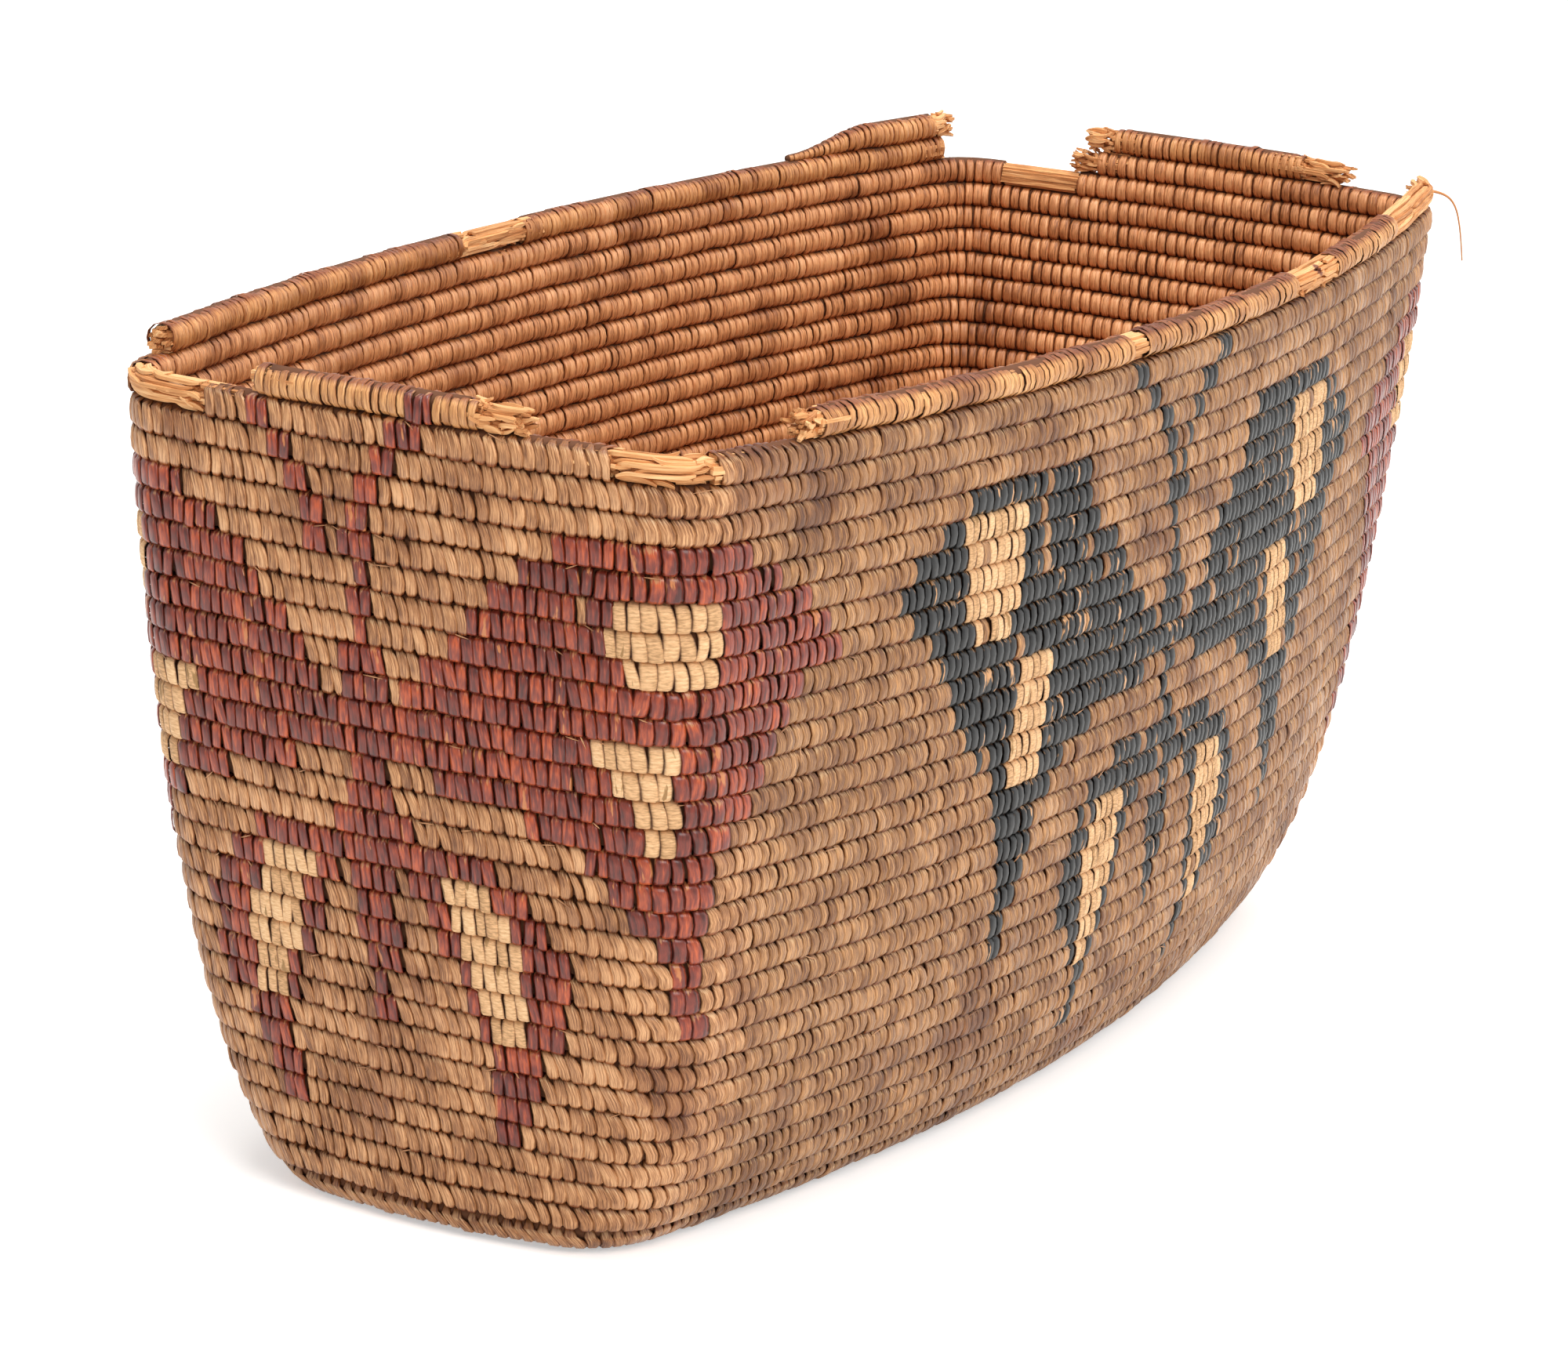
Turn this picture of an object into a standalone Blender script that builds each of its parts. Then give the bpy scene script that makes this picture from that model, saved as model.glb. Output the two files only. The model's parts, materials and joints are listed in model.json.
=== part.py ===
"""Imbricated coiled basket: one cedar-root coil wound from a flat base up a flaring wall, with a broken rim.

Each turn of the coil is a separate course, laid on the one below. The courses climb counterclockwise, seen
from above, by one course a turn. A place on the coil is given by its turn, counted down from the rim, and by
its share of the way round, counted counterclockwise from the middle of the front left corner. The long sides
face -Y (front) and +Y (back). The underside rests on z = 0.
"""

import math

import bmesh
import bpy
import numpy as np
from mathutils import Matrix, Vector

MM = 0.001

# Driving dimensions, in metres
RIM_LENGTH = 467.0 * MM
RIM_WIDTH = 214.0 * MM
COURSE_RISE = 7.0 * MM
RIM_CORNER_RADIUS = 14.5 * MM
FOOT_CORNER_RADIUS = 17.0 * MM
RIM_SIDE_BOW = 26.5 * MM
FOOT_SIDE_BOW = 23.0 * MM
RIM_END_BOW = 5.6 * MM
FOOT_END_BOW = 7.0 * MM
RIM_CORNER_LIFT = 2.7 * MM

# Clearances and the flat that the basket stands on
COURSE_GAP = 0.3 * MM
BASE_GAP = 0.5 * MM
END_GAP = 0.3 * MM
FLAT_DEPTH = 0.5 * MM
CUT_OVERRUN = 5.0 * MM

# The loose root fibre at the front right corner
FIBRE_DIAMETER = 0.9 * MM
FIBRE_REACH = 10.5 * MM
FIBRE_DROP = 20.0 * MM
FIBRE_HEADING_DEGREES = -63.0
FIBRE_ROUTE_SHARES = ((0.0, 0.0), (0.35, 0.02), (0.66, 0.13), (0.84, 0.44), (0.93, 0.72), (1.0, 1.0))

# Courses, counted from the rim
WALL_COURSES = 31
FOOT_START = 29.6
FOOT_END = 31.9
FOOT_POWER = 5.8
ABOVE_RIM_LEVELS = 2
LAST_FULL_TURN = 3
COURSES_IN_TWO_PARTS = (10, 11)
LEVEL_STEPS = 20

# Lean of the wall from upright, in degrees: at the rim, gained on the way down, and turned in at the foot
END_LEAN = (3.8, 14.4, -15.3)
SIDE_LEAN = (3.8, -0.5, 39.6)
FLAT_LEAN = 90.0

# Points along the coil: a course has straight chords between them
LONG_STEPS = 5
SHORT_STEPS = 2
ARC_STEPS = 3
TUBE_SIDES = 6
FLAT_TO_CORNER = math.cos(math.pi / TUBE_SIDES)
SMOOTH_UNDER_DEGREES = 65.0

# Where a winding's gap to itself is measured: points on each chord, and the own length that is passed over
MEASURE_STEPS = 20
OWN_REACH_SHARE = 4.0

# Where each full course ends and the next begins, and where the base coil starts, as shares of the way round
SEAM_SHARE = 0.69
CORE_SHARE = 0.014
CORE_LEFT_SHARE = 0.25

# Broken courses at the rim: turn, then from and to as shares of the way round. Past 1 is the next turn.
WRAPPED_ARC_SHARES = {
    "second_coil_back_left": (2, 0.690, 0.868),
    "second_coil_left_end": (2, 0.895, 0.985),
    "second_coil_front": (1, 0.006, 0.462),
    "rim_coil_back": (1, 0.509, 0.685),
    "rim_coil_back_left": (1, 0.714, 0.857),
    "rim_coil_left_end": (1, 0.908, 0.957),
    "rim_coil_front": (0, 0.036, 0.240),
    "rim_coil_front_right": (0, 0.268, 0.321),
    "rim_coil_right_end": (0, 0.408, 0.458),
    "coil_finish_back": (0, 0.513, 0.569),
}
BARE_ARC_SHARES = {
    "bare_splints_back_left_corner": (2, 0.868, 0.893),
    "bare_splints_front_left_corner": (2, 0.985, 1.006),
    "bare_splints_second_coil_end": (1, 0.462, 0.468),
    "bare_splints_back": (1, 0.685, 0.714),
    "bare_splints_left_end": (1, 0.957, 0.966),
    "bare_splints_front_start": (0, 0.031, 0.036),
    "bare_splints_front": (0, 0.240, 0.268),
    "bare_splints_front_right_corner": (0, 0.321, 0.374),
    "bare_splints_right_end_front": (0, 0.397, 0.408),
    "bare_splints_right_end_back": (0, 0.458, 0.464),
    "bare_splints_back_right_corner": (0, 0.506, 0.513),
}
BARE_THICKNESS_SHARE = 0.74
TAPER_THICKNESS_SHARE = 0.4
TAPER_FROM_SHARE = 0.8
NEAR_END_SHARE = 0.0022
SAME_PLACE_SHARE = 0.000022
WELD_SHARE = 0.01

# Materials: colour, roughness
FINISHES = {
    "sewn_cedar_root": ((0.40, 0.24, 0.11), 0.55),
    "bare_cedar_splints": ((0.58, 0.33, 0.14), 0.7),
}
OBJECT_NAME = "imbricated_basket"


def smooth_step(value):
    """0 below 0, 1 above 1, and an even bend between."""
    value = np.clip(value, 0, 1)
    return value * value * (3 - 2 * value)


def coil_width():
    """Across the corners of a course's section, which is the wall's thickness."""
    return (COURSE_RISE - COURSE_GAP) / FLAT_TO_CORNER


def lean(level, at_rim, gained, at_foot):
    """The wall's lean from upright, in radians: it turns flat at the foot."""
    down = np.clip(level / WALL_COURSES, 0, 1)
    wall = at_rim + gained * down + at_foot * down**FOOT_POWER
    flat = smooth_step((level - FOOT_START) / (FOOT_END - FOOT_START))
    return np.radians(wall + flat * (FLAT_LEAN - wall))


def wall_profile():
    """The coil's centre line by course level: half length, half width, bows, corner radius and height."""
    step = 1 / LEVEL_STEPS
    rim_inset = coil_width() / 2
    wall = np.arange(-ABOVE_RIM_LEVELS, FOOT_END + step, step)
    ends = lean(wall, *END_LEAN)
    sides = lean(wall, *SIDE_LEAN)
    rise = COURSE_RISE * step
    at_rim = np.argmin(np.abs(wall))

    def run_down(share):
        total = np.concatenate([[0], np.cumsum(rise * (share[1:] + share[:-1]) / 2)])
        return total - total[at_rim]

    length = RIM_LENGTH / 2 - rim_inset - run_down(np.sin(ends))
    width = RIM_WIDTH / 2 - rim_inset - run_down(np.sin(sides))
    drop = run_down((np.cos(ends) + np.cos(sides)) / 2)
    down = np.clip(wall / WALL_COURSES, 0, 1)
    side_bow = RIM_SIDE_BOW + (FOOT_SIDE_BOW - RIM_SIDE_BOW) * down
    end_bow = RIM_END_BOW + (FOOT_END_BOW - RIM_END_BOW) * down
    radius = RIM_CORNER_RADIUS + (FOOT_CORNER_RADIUS - RIM_CORNER_RADIUS) * down**3 - rim_inset

    loops = max(2, round(width[-1] / COURSE_RISE))
    core = math.floor(FOOT_END) + loops + 1 / 2 - CORE_SHARE + CORE_LEFT_SHARE
    base = np.arange(wall[-1] + step, core + step, step)
    left = (core - base) / (core - wall[-1])
    corner_width = width[-1] - side_bow[-1]
    base_radius = corner_width * left * (1 - (1 - radius[-1] / corner_width) * left)
    return {
        "level": np.concatenate([wall, base]),
        "length": np.concatenate([length, length[-1] - COURSE_RISE * (base - wall[-1])]),
        "width": np.concatenate([width, width[-1] * left]),
        "side_bow": np.concatenate([side_bow, side_bow[-1] * left]),
        "end_bow": np.concatenate([end_bow, end_bow[-1] * left]),
        "radius": np.concatenate([radius, base_radius]),
        "height": np.concatenate([drop[-1] - drop, np.zeros(len(base))]) + coil_width() / 2 - FLAT_DEPTH,
        "core": core,
    }


PROFILE = wall_profile()


def at_level(name, level):
    """A value of the profile at a course level."""
    return float(np.interp(level, PROFILE["level"], PROFILE[name]))


def outline_runs():
    """The rim's sides and corner arcs, counterclockwise from the front side, as shares of its length."""
    length = RIM_LENGTH - 2 * RIM_CORNER_RADIUS
    width = RIM_WIDTH - 2 * RIM_SIDE_BOW - 2 * RIM_CORNER_RADIUS
    arc = RIM_CORNER_RADIUS * math.pi / 2
    runs = np.array([length, arc, width, arc] * 2)
    return runs / runs.sum(), runs.sum()


RUN_SHARES, RIM_PERIMETER = outline_runs()


def outline_point(share, level):
    """A point of the outline at a course level, before its long sides are bowed."""
    half_length = at_level("length", level)
    half_width = at_level("width", level)
    bow = at_level("side_bow", level)
    arc_x = at_level("radius", level)
    arc_y = arc_x * half_width / (half_width - bow)
    along = (share - RUN_SHARES[1] / 2) % 1
    run = 0
    while run < len(RUN_SHARES) - 1 and along > RUN_SHARES[run]:
        along -= RUN_SHARES[run]
        run += 1
    part = min(along / RUN_SHARES[run], 1)
    side = run // 2
    facing = (side - 1) * math.pi / 2
    if run % 2:
        angle = facing + part * math.pi / 2
        corner = facing + math.pi / 4
        centre_x = math.copysign(half_length - arc_x, math.cos(corner))
        centre_y = math.copysign(half_width - arc_y, math.sin(corner))
        return centre_x + arc_x * math.cos(angle), centre_y + arc_y * math.sin(angle)
    if side % 2:
        reach = (half_width - arc_y) * (2 * part - 1)
        return half_length * math.cos(facing), reach * math.cos(facing)
    reach = (half_length - arc_x) * (2 * part - 1)
    return -reach * math.sin(facing), half_width * math.sin(facing)


def wall_point(share, level):
    """The coil's centre line at a share of the way round and a course level."""
    x, y = outline_point(share, level)
    half_length = at_level("length", level)
    half_width = at_level("width", level)
    ends = at_level("end_bow", level) * (y / half_width) ** 2
    sides = at_level("side_bow", level) * (x / half_length) ** 2
    lift = RIM_CORNER_LIFT * ((x / half_length) ** 2 - 1 / 2) * (1 - min(max(level, 0) / WALL_COURSES, 1))
    return Vector((x - ends * x / half_length, y - sides * y / half_width, at_level("height", level) + lift))


def outward(share, level, back=NEAR_END_SHARE, ahead=NEAR_END_SHARE):
    """The horizontal direction out of the basket, square to the course."""
    run = wall_point(share + ahead, level) - wall_point(share - back, level)
    return run.cross(Vector((0, 0, 1))).normalized()


def across(step, out):
    """The part of a step to a neighbouring course that is square to the coil: outwards and up."""
    return np.array([step.dot(out), step.z])


def section(share, level):
    """A course's centre, its lean from upright and the radius that leaves its gap to both neighbours."""
    centre = wall_point(share, level)
    above = wall_point(share, level - 1) - centre
    below = wall_point(share, level + 1) - centre if level + 1 < PROFILE["core"] else -above
    out = outward(share, level)
    up = [across(step, out) / np.linalg.norm(across(step, out)) for step in (above, below)]
    leaning = math.atan2(*(up[0] - up[1]))
    flat = float(smooth_step((level - FOOT_START) / (FOOT_END - FOOT_START)))
    gap = COURSE_GAP + (BASE_GAP - COURSE_GAP) * flat
    radius = coil_width() / 2
    for facing in (outward(share, level, back=0), outward(share, level, ahead=0)):
        for step in (across(above, facing), across(-below, facing)):
            turned = abs(math.atan2(*step) - leaning)
            reach = math.cos(max(math.pi / TUBE_SIDES - turned, 0))
            radius = min(radius, (np.linalg.norm(step) - gap) / (2 * reach))
    return centre, leaning, radius, out


def station_shares():
    """The shares of the way round at which every course has a point, so that neighbours keep their gap."""
    shares = []
    start = RUN_SHARES[1] / 2
    for run, steps in enumerate([LONG_STEPS, ARC_STEPS, SHORT_STEPS, ARC_STEPS] * 2):
        shares += [start + RUN_SHARES[run] * step / steps for step in range(steps)]
        start += RUN_SHARES[run]
    return shares


def arc_shares(start, end):
    """Shares from start to end: both ends, and the stations that lie well between."""
    turns = range(math.floor(start) - 1, math.ceil(end) + 1)
    stations = [turn + share for turn in turns for share in station_shares()]
    inner = sorted(s for s in stations if start + NEAR_END_SHARE < s < end - NEAR_END_SHARE)
    return [start, *inner, end]


def on_chord(turn, share):
    """The section at a share, on the straight chord between the stations on either side of it."""
    turns = range(math.floor(share) - 1, math.floor(share) + 3)
    stations = sorted(whole + s for whole in turns for s in station_shares())
    before = max(s for s in stations if s <= share + SAME_PLACE_SHARE)
    after = min(s for s in stations if s > before + SAME_PLACE_SHARE)
    part = (share - before) / (after - before)
    ends = [section(s, turn - s + 1 / 2) for s in (before, after)]
    centre, leaning, radius = (ends[0][i] * (1 - part) + ends[1][i] * part for i in range(3))
    out = (ends[0][3] * (1 - part) + ends[1][3] * part).normalized()
    return centre, leaning, radius, out


def full_thickness(part):
    """The thickness of a length of wrapped coil, the same all along."""
    return 1


def coil_sections(turn, start, end, thickness=full_thickness):
    """Centres, leans and radii along a length of coil. A thinner length still rests on the course below."""
    rows = []
    for share in arc_shares(start, end):
        centre, leaning, radius, out = on_chord(turn, share)
        thick = thickness((share - start) / (end - start))
        up = out * math.sin(leaning) + Vector((0, 0, math.cos(leaning)))
        rows.append((centre - up * radius * FLAT_TO_CORNER * (1 - thick), leaning, radius * thick))
    return rows


def material(name):
    """A plain stand-in for a finish, in its real colour."""
    if name in bpy.data.materials:
        return bpy.data.materials[name]
    colour, roughness = FINISHES[name]
    made = bpy.data.materials.new(name)
    made.use_nodes = True
    shader = made.node_tree.nodes["Principled BSDF"]
    shader.inputs["Base Color"].default_value = (*colour, 1)
    shader.inputs["Roughness"].default_value = roughness
    made.diffuse_color = (*colour, 1)
    return made


def collection(name):
    """A new collection in the scene."""
    made = bpy.data.collections.new(name)
    bpy.context.scene.collection.children.link(made)
    return made


def tube(name, rows, finish, into, parent):
    """A tube along a coil's sections, with its flats turned to face the neighbouring courses."""
    widest = max(radius for _, _, radius in rows)
    curve = bpy.data.curves.new(name, "CURVE")
    curve.dimensions = "3D"
    curve.twist_mode = "Z_UP"
    curve.bevel_depth = widest
    curve.bevel_resolution = (TUBE_SIDES - 4) // 2
    curve.use_fill_caps = True
    spline = curve.splines.new("POLY")
    spline.use_smooth = True
    spline.points.add(len(rows) - 1)
    origin = rows[0][0]
    for point, (centre, leaning, radius) in zip(spline.points, rows):
        point.co = (*(centre - origin), 1)
        point.tilt = leaning
        point.radius = radius / widest
    made = bpy.data.objects.new(name, curve)
    made.location = origin
    made.parent = parent
    curve.materials.append(material(finish))
    into.objects.link(made)
    return made


def as_mesh(piece, into):
    """The same piece as a closed mesh, which can be cut."""
    bpy.context.view_layer.update()
    seen = piece.evaluated_get(bpy.context.evaluated_depsgraph_get())
    mesh = bpy.data.meshes.new_from_object(seen)
    shape = bmesh.new()
    shape.from_mesh(mesh)
    bmesh.ops.remove_doubles(shape, verts=shape.verts, dist=COURSE_GAP * WELD_SHARE)
    bmesh.ops.recalc_face_normals(shape, faces=shape.faces)
    shape.to_mesh(mesh)
    shape.free()
    mesh.shade_smooth()
    mesh.set_sharp_from_angle(angle=math.radians(SMOOTH_UNDER_DEGREES))
    name = piece.name
    made = bpy.data.objects.new(name + "_mesh", mesh)
    made.parent = piece.parent
    made.matrix_world = piece.matrix_world
    into.objects.link(made)
    bpy.data.objects.remove(piece)
    made.name = name
    return made


def floor_cutter(into, parent):
    """A block below the floor that leaves the flat the basket stands on."""
    bpy.ops.mesh.primitive_cube_add(size=1)
    made = bpy.context.object
    made.name = "floor_cutter"
    depth = FLAT_DEPTH + CUT_OVERRUN
    made.data.transform(Matrix.Diagonal((RIM_LENGTH, RIM_WIDTH, depth, 1)))
    made.location.z = -depth / 2
    made.parent = parent
    made.hide_render = True
    made.display_type = "WIRE"
    for holder in list(made.users_collection):
        holder.objects.unlink(made)
    into.objects.link(made)
    return made


def cut_flat(piece, cutter):
    """The piece with its underside cut level with the floor."""
    cut = piece.modifiers.new("flat_underside", "BOOLEAN")
    cut.operation = "DIFFERENCE"
    cut.solver = "EXACT"
    cut.object = cutter


def closest_turns(rows):
    """The gaps between a winding's own turns, measured on points, and the two chords each lies between."""
    steps = np.linspace(0, 1, MEASURE_STEPS, endpoint=False)
    values = np.array([(*centre, radius) for centre, _, radius in rows])
    chord = np.repeat(np.arange(len(rows) - 1), MEASURE_STEPS)
    part = np.tile(steps, len(rows) - 1)[:, None]
    fine = values[chord] * (1 - part) + values[chord + 1] * part
    path = np.concatenate([[0], np.cumsum(np.linalg.norm(np.diff(fine[:, :3], axis=0), axis=1))])
    found = []
    for i in range(len(fine)):
        others = np.flatnonzero(path - path[i] > OWN_REACH_SHARE * coil_width())
        if len(others):
            apart = np.linalg.norm(fine[others, :3] - fine[i, :3], axis=1)
            thick = (fine[others, 3] + fine[i, 3]) * FLAT_TO_CORNER
            near = np.argmin(apart - thick)
            found.append((apart[near] - thick[near], thick[near], chord[i], chord[others[near]]))
    return found


def eased(rows):
    """A winding's sections, made thinner where its turns would come closer than their gap."""
    share = np.ones(len(rows))
    for gap, thick, first, second in closest_turns(rows):
        fits = min((thick + gap - BASE_GAP) / thick, 1)
        for chord in (first, second):
            share[chord : chord + 2] = np.minimum(share[chord : chord + 2], fits)
    return [(centre, leaning, radius * part) for (centre, leaning, radius), part in zip(rows, share)]


def base_winding(cutter, into, parent):
    """The flat base: one unbroken coil wound outwards from a long core, flat underneath."""
    outer = math.floor(FOOT_END) + 1
    core_turn = PROFILE["core"] - CORE_LEFT_SHARE + CORE_SHARE - 1 / 2
    turns = round(core_turn) - outer
    rows = eased(coil_sections(outer, CORE_SHARE - turns, SEAM_SHARE - end_share() / 2))
    least = min(gap for gap, *_ in closest_turns(rows))
    print(f"base_winding: {turns + SEAM_SHARE - CORE_SHARE:.2f} turns, least gap {least / MM:.2f} mm")
    made = as_mesh(tube("base_winding", rows, "sewn_cedar_root", into, parent), into)
    cut_flat(made, cutter)


def end_share():
    """The gap between two lengths of coil that meet end to end, as a share of the way round."""
    return END_GAP / RIM_PERIMETER


def course_parts(number):
    """A course's parts, by the end of their names: most are whole, and a few end at the front right corner."""
    if number not in COURSES_IN_TWO_PARTS:
        return {"": (SEAM_SHARE, SEAM_SHARE + 1)}
    corner = 1 + RUN_SHARES[0] + RUN_SHARES[1]
    return {"_left_part": (SEAM_SHARE, corner), "_right_part": (corner, SEAM_SHARE + 1)}


def wall_courses(cutter, into, parent):
    """The unbroken courses of the wall, from the foot up, each one turn of the climbing coil."""
    first = math.floor(FOOT_END) + 1
    for number, turn in enumerate(range(first, LAST_FULL_TURN - 1, -1), start=1):
        for part, (start, end) in course_parts(number).items():
            rows = coil_sections(turn, start + end_share() / 2, end - end_share() / 2)
            made = tube(f"wall_course_{number:02d}{part}", rows, "sewn_cedar_root", into, parent)
            if min(centre.z - radius for centre, _, radius in rows) < 0:
                cut_flat(as_mesh(made, into), cutter)


def finish_taper(part):
    """The thickness of the coil's natural end, which thins out over its last stretch."""
    thinned = float(smooth_step((part - TAPER_FROM_SHARE) / (1 - TAPER_FROM_SHARE)))
    return 1 - (1 - TAPER_THICKNESS_SHARE) * thinned


def bare_thickness(part):
    """The thickness of a length of bare splints, the same all along."""
    return BARE_THICKNESS_SHARE


def rim_courses(into, parent):
    """What is left of the top courses: wrapped lengths of coil, and bare splints where the wrap is lost."""
    inset = end_share() / 2
    for name, (turn, start, end) in WRAPPED_ARC_SHARES.items():
        thickness = finish_taper if name.startswith("coil_finish") else full_thickness
        rows = coil_sections(turn, start + inset, end - inset, thickness)
        tube(name, rows, "sewn_cedar_root", into, parent)
    for name, (turn, start, end) in BARE_ARC_SHARES.items():
        rows = coil_sections(turn, start + inset, end - inset, bare_thickness)
        tube(name, rows, "bare_cedar_splints", into, parent)


def loose_fibre(into, parent):
    """A thin root fibre that has come loose from the bare corner and hangs outside it."""
    turn, _, end = BARE_ARC_SHARES["bare_splints_front_right_corner"]
    centre, leaning, radius, out = on_chord(turn, end - NEAR_END_SHARE)
    heading = math.radians(FIBRE_HEADING_DEGREES)
    away = Vector((math.cos(heading), math.sin(heading), 0))
    start = centre + out * (radius * BARE_THICKNESS_SHARE + END_GAP + FIBRE_DIAMETER / 2)
    rows = []
    for reach, drop in FIBRE_ROUTE_SHARES:
        place = start + away * FIBRE_REACH * reach - Vector((0, 0, FIBRE_DROP * drop))
        rows.append((place, 0, FIBRE_DIAMETER / 2))
    tube("loose_fibre", rows, "bare_cedar_splints", into, parent)


def main():
    """Clears the scene and builds the basket."""
    for old in list(bpy.data.objects):
        bpy.data.objects.remove(old)
    parts = collection(OBJECT_NAME)
    cutters = collection("cutters")
    root = bpy.data.objects.new("basket_origin", None)
    parts.objects.link(root)
    cutter = floor_cutter(cutters, root)
    base_winding(cutter, parts, root)
    wall_courses(cutter, parts, root)
    rim_courses(parts, root)
    loose_fibre(parts, root)


main()
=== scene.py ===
# %% [markdown]
# # An imbricated coiled basket
#
# This basket is one long coil of cedar splints, sewn to itself with split root. On the outer face
# some stitches hold down a folded strip of bark or grass, which is called imbrication, and those
# strips draw insect-like figures. The top courses are broken, so their inner splints show.
#
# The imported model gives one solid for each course. Here every course is replaced by its stitches,
# laid side by side as a straight row and then bent along the coil.

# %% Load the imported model
import json
import math

import bmesh
import bpy
import numpy as np
from mathutils import Matrix, Vector

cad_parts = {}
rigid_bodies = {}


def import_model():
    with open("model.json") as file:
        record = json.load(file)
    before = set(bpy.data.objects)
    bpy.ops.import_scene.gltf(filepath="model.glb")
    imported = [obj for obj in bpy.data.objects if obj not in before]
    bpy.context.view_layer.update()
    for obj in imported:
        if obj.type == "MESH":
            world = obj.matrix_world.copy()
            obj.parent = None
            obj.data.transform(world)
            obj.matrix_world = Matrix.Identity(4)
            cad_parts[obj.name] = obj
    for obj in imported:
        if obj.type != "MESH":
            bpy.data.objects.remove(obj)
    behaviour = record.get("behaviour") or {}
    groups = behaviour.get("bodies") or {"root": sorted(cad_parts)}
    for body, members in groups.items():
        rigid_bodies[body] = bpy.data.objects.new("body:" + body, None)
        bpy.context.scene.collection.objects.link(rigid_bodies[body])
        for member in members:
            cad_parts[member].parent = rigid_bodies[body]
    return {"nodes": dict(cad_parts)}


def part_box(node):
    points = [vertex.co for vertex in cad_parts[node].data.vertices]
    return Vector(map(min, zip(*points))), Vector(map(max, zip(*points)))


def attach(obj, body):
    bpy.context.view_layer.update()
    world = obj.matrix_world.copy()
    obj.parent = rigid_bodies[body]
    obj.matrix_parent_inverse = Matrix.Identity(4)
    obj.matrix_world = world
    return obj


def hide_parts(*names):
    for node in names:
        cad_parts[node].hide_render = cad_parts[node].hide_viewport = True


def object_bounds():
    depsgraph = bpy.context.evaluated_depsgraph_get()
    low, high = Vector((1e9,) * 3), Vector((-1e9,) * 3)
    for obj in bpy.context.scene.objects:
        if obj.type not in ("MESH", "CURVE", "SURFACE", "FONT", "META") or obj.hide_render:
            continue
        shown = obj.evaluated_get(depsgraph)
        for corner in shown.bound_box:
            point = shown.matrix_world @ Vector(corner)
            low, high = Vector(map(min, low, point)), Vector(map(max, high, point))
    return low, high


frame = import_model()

cad_low, cad_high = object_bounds()
MM = 0.001
print(f"{len(frame['nodes'])} solids in the packed model")

# %% [markdown]
# ## The route of the coil
#
# A place on the coil has a turn, counted down from the rim, and a share of the way round, counted
# counterclockwise from the middle of the front left corner. The coil climbs one course in a turn,
# so its level is turn - share + 1/2. The sizes below are those of the solids, in metres, and the
# cell after them checks that the route runs through each solid.

# %% Sizes of the basket
RIM_LENGTH = 467.0 * MM
RIM_WIDTH = 214.0 * MM
COURSE_RISE = 7.0 * MM
COURSE_GAP = 0.3 * MM
RIM_CORNER_RADIUS = 14.5 * MM
FOOT_CORNER_RADIUS = 17.0 * MM
RIM_SIDE_BOW = 26.5 * MM
FOOT_SIDE_BOW = 23.0 * MM
RIM_END_BOW = 5.6 * MM
FOOT_END_BOW = 7.0 * MM
RIM_CORNER_LIFT = 2.7 * MM
FLAT_DEPTH = 0.5 * MM
WALL_COURSES = 31
FOOT_START = 29.6
FOOT_END = 31.9
FOOT_POWER = 5.8
ABOVE_RIM_LEVELS = 2
LEVEL_STEPS = 20
END_LEAN_DEGREES = (3.8, 14.4, -15.3)
SIDE_LEAN_DEGREES = (3.8, -0.5, 39.6)
FLAT_LEAN_DEGREES = 90.0
SEAM_SHARE = 0.69
CORE_SHARE = 0.014
CORE_LEFT_SHARE = 0.25
COIL_WIDTH = (COURSE_RISE - COURSE_GAP) / math.cos(math.pi / 6)


def smooth_step(value):
    """0 below 0, 1 above 1, and an even bend between."""
    value = np.clip(value, 0, 1)
    return value * value * (3 - 2 * value)


def lean(level, at_rim, gained, at_foot):
    """The wall's lean from upright, in radians: it turns flat at the foot."""
    down = np.clip(level / WALL_COURSES, 0, 1)
    wall = at_rim + gained * down + at_foot * down**FOOT_POWER
    flat = smooth_step((level - FOOT_START) / (FOOT_END - FOOT_START))
    return np.radians(wall + flat * (FLAT_LEAN_DEGREES - wall))


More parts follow.
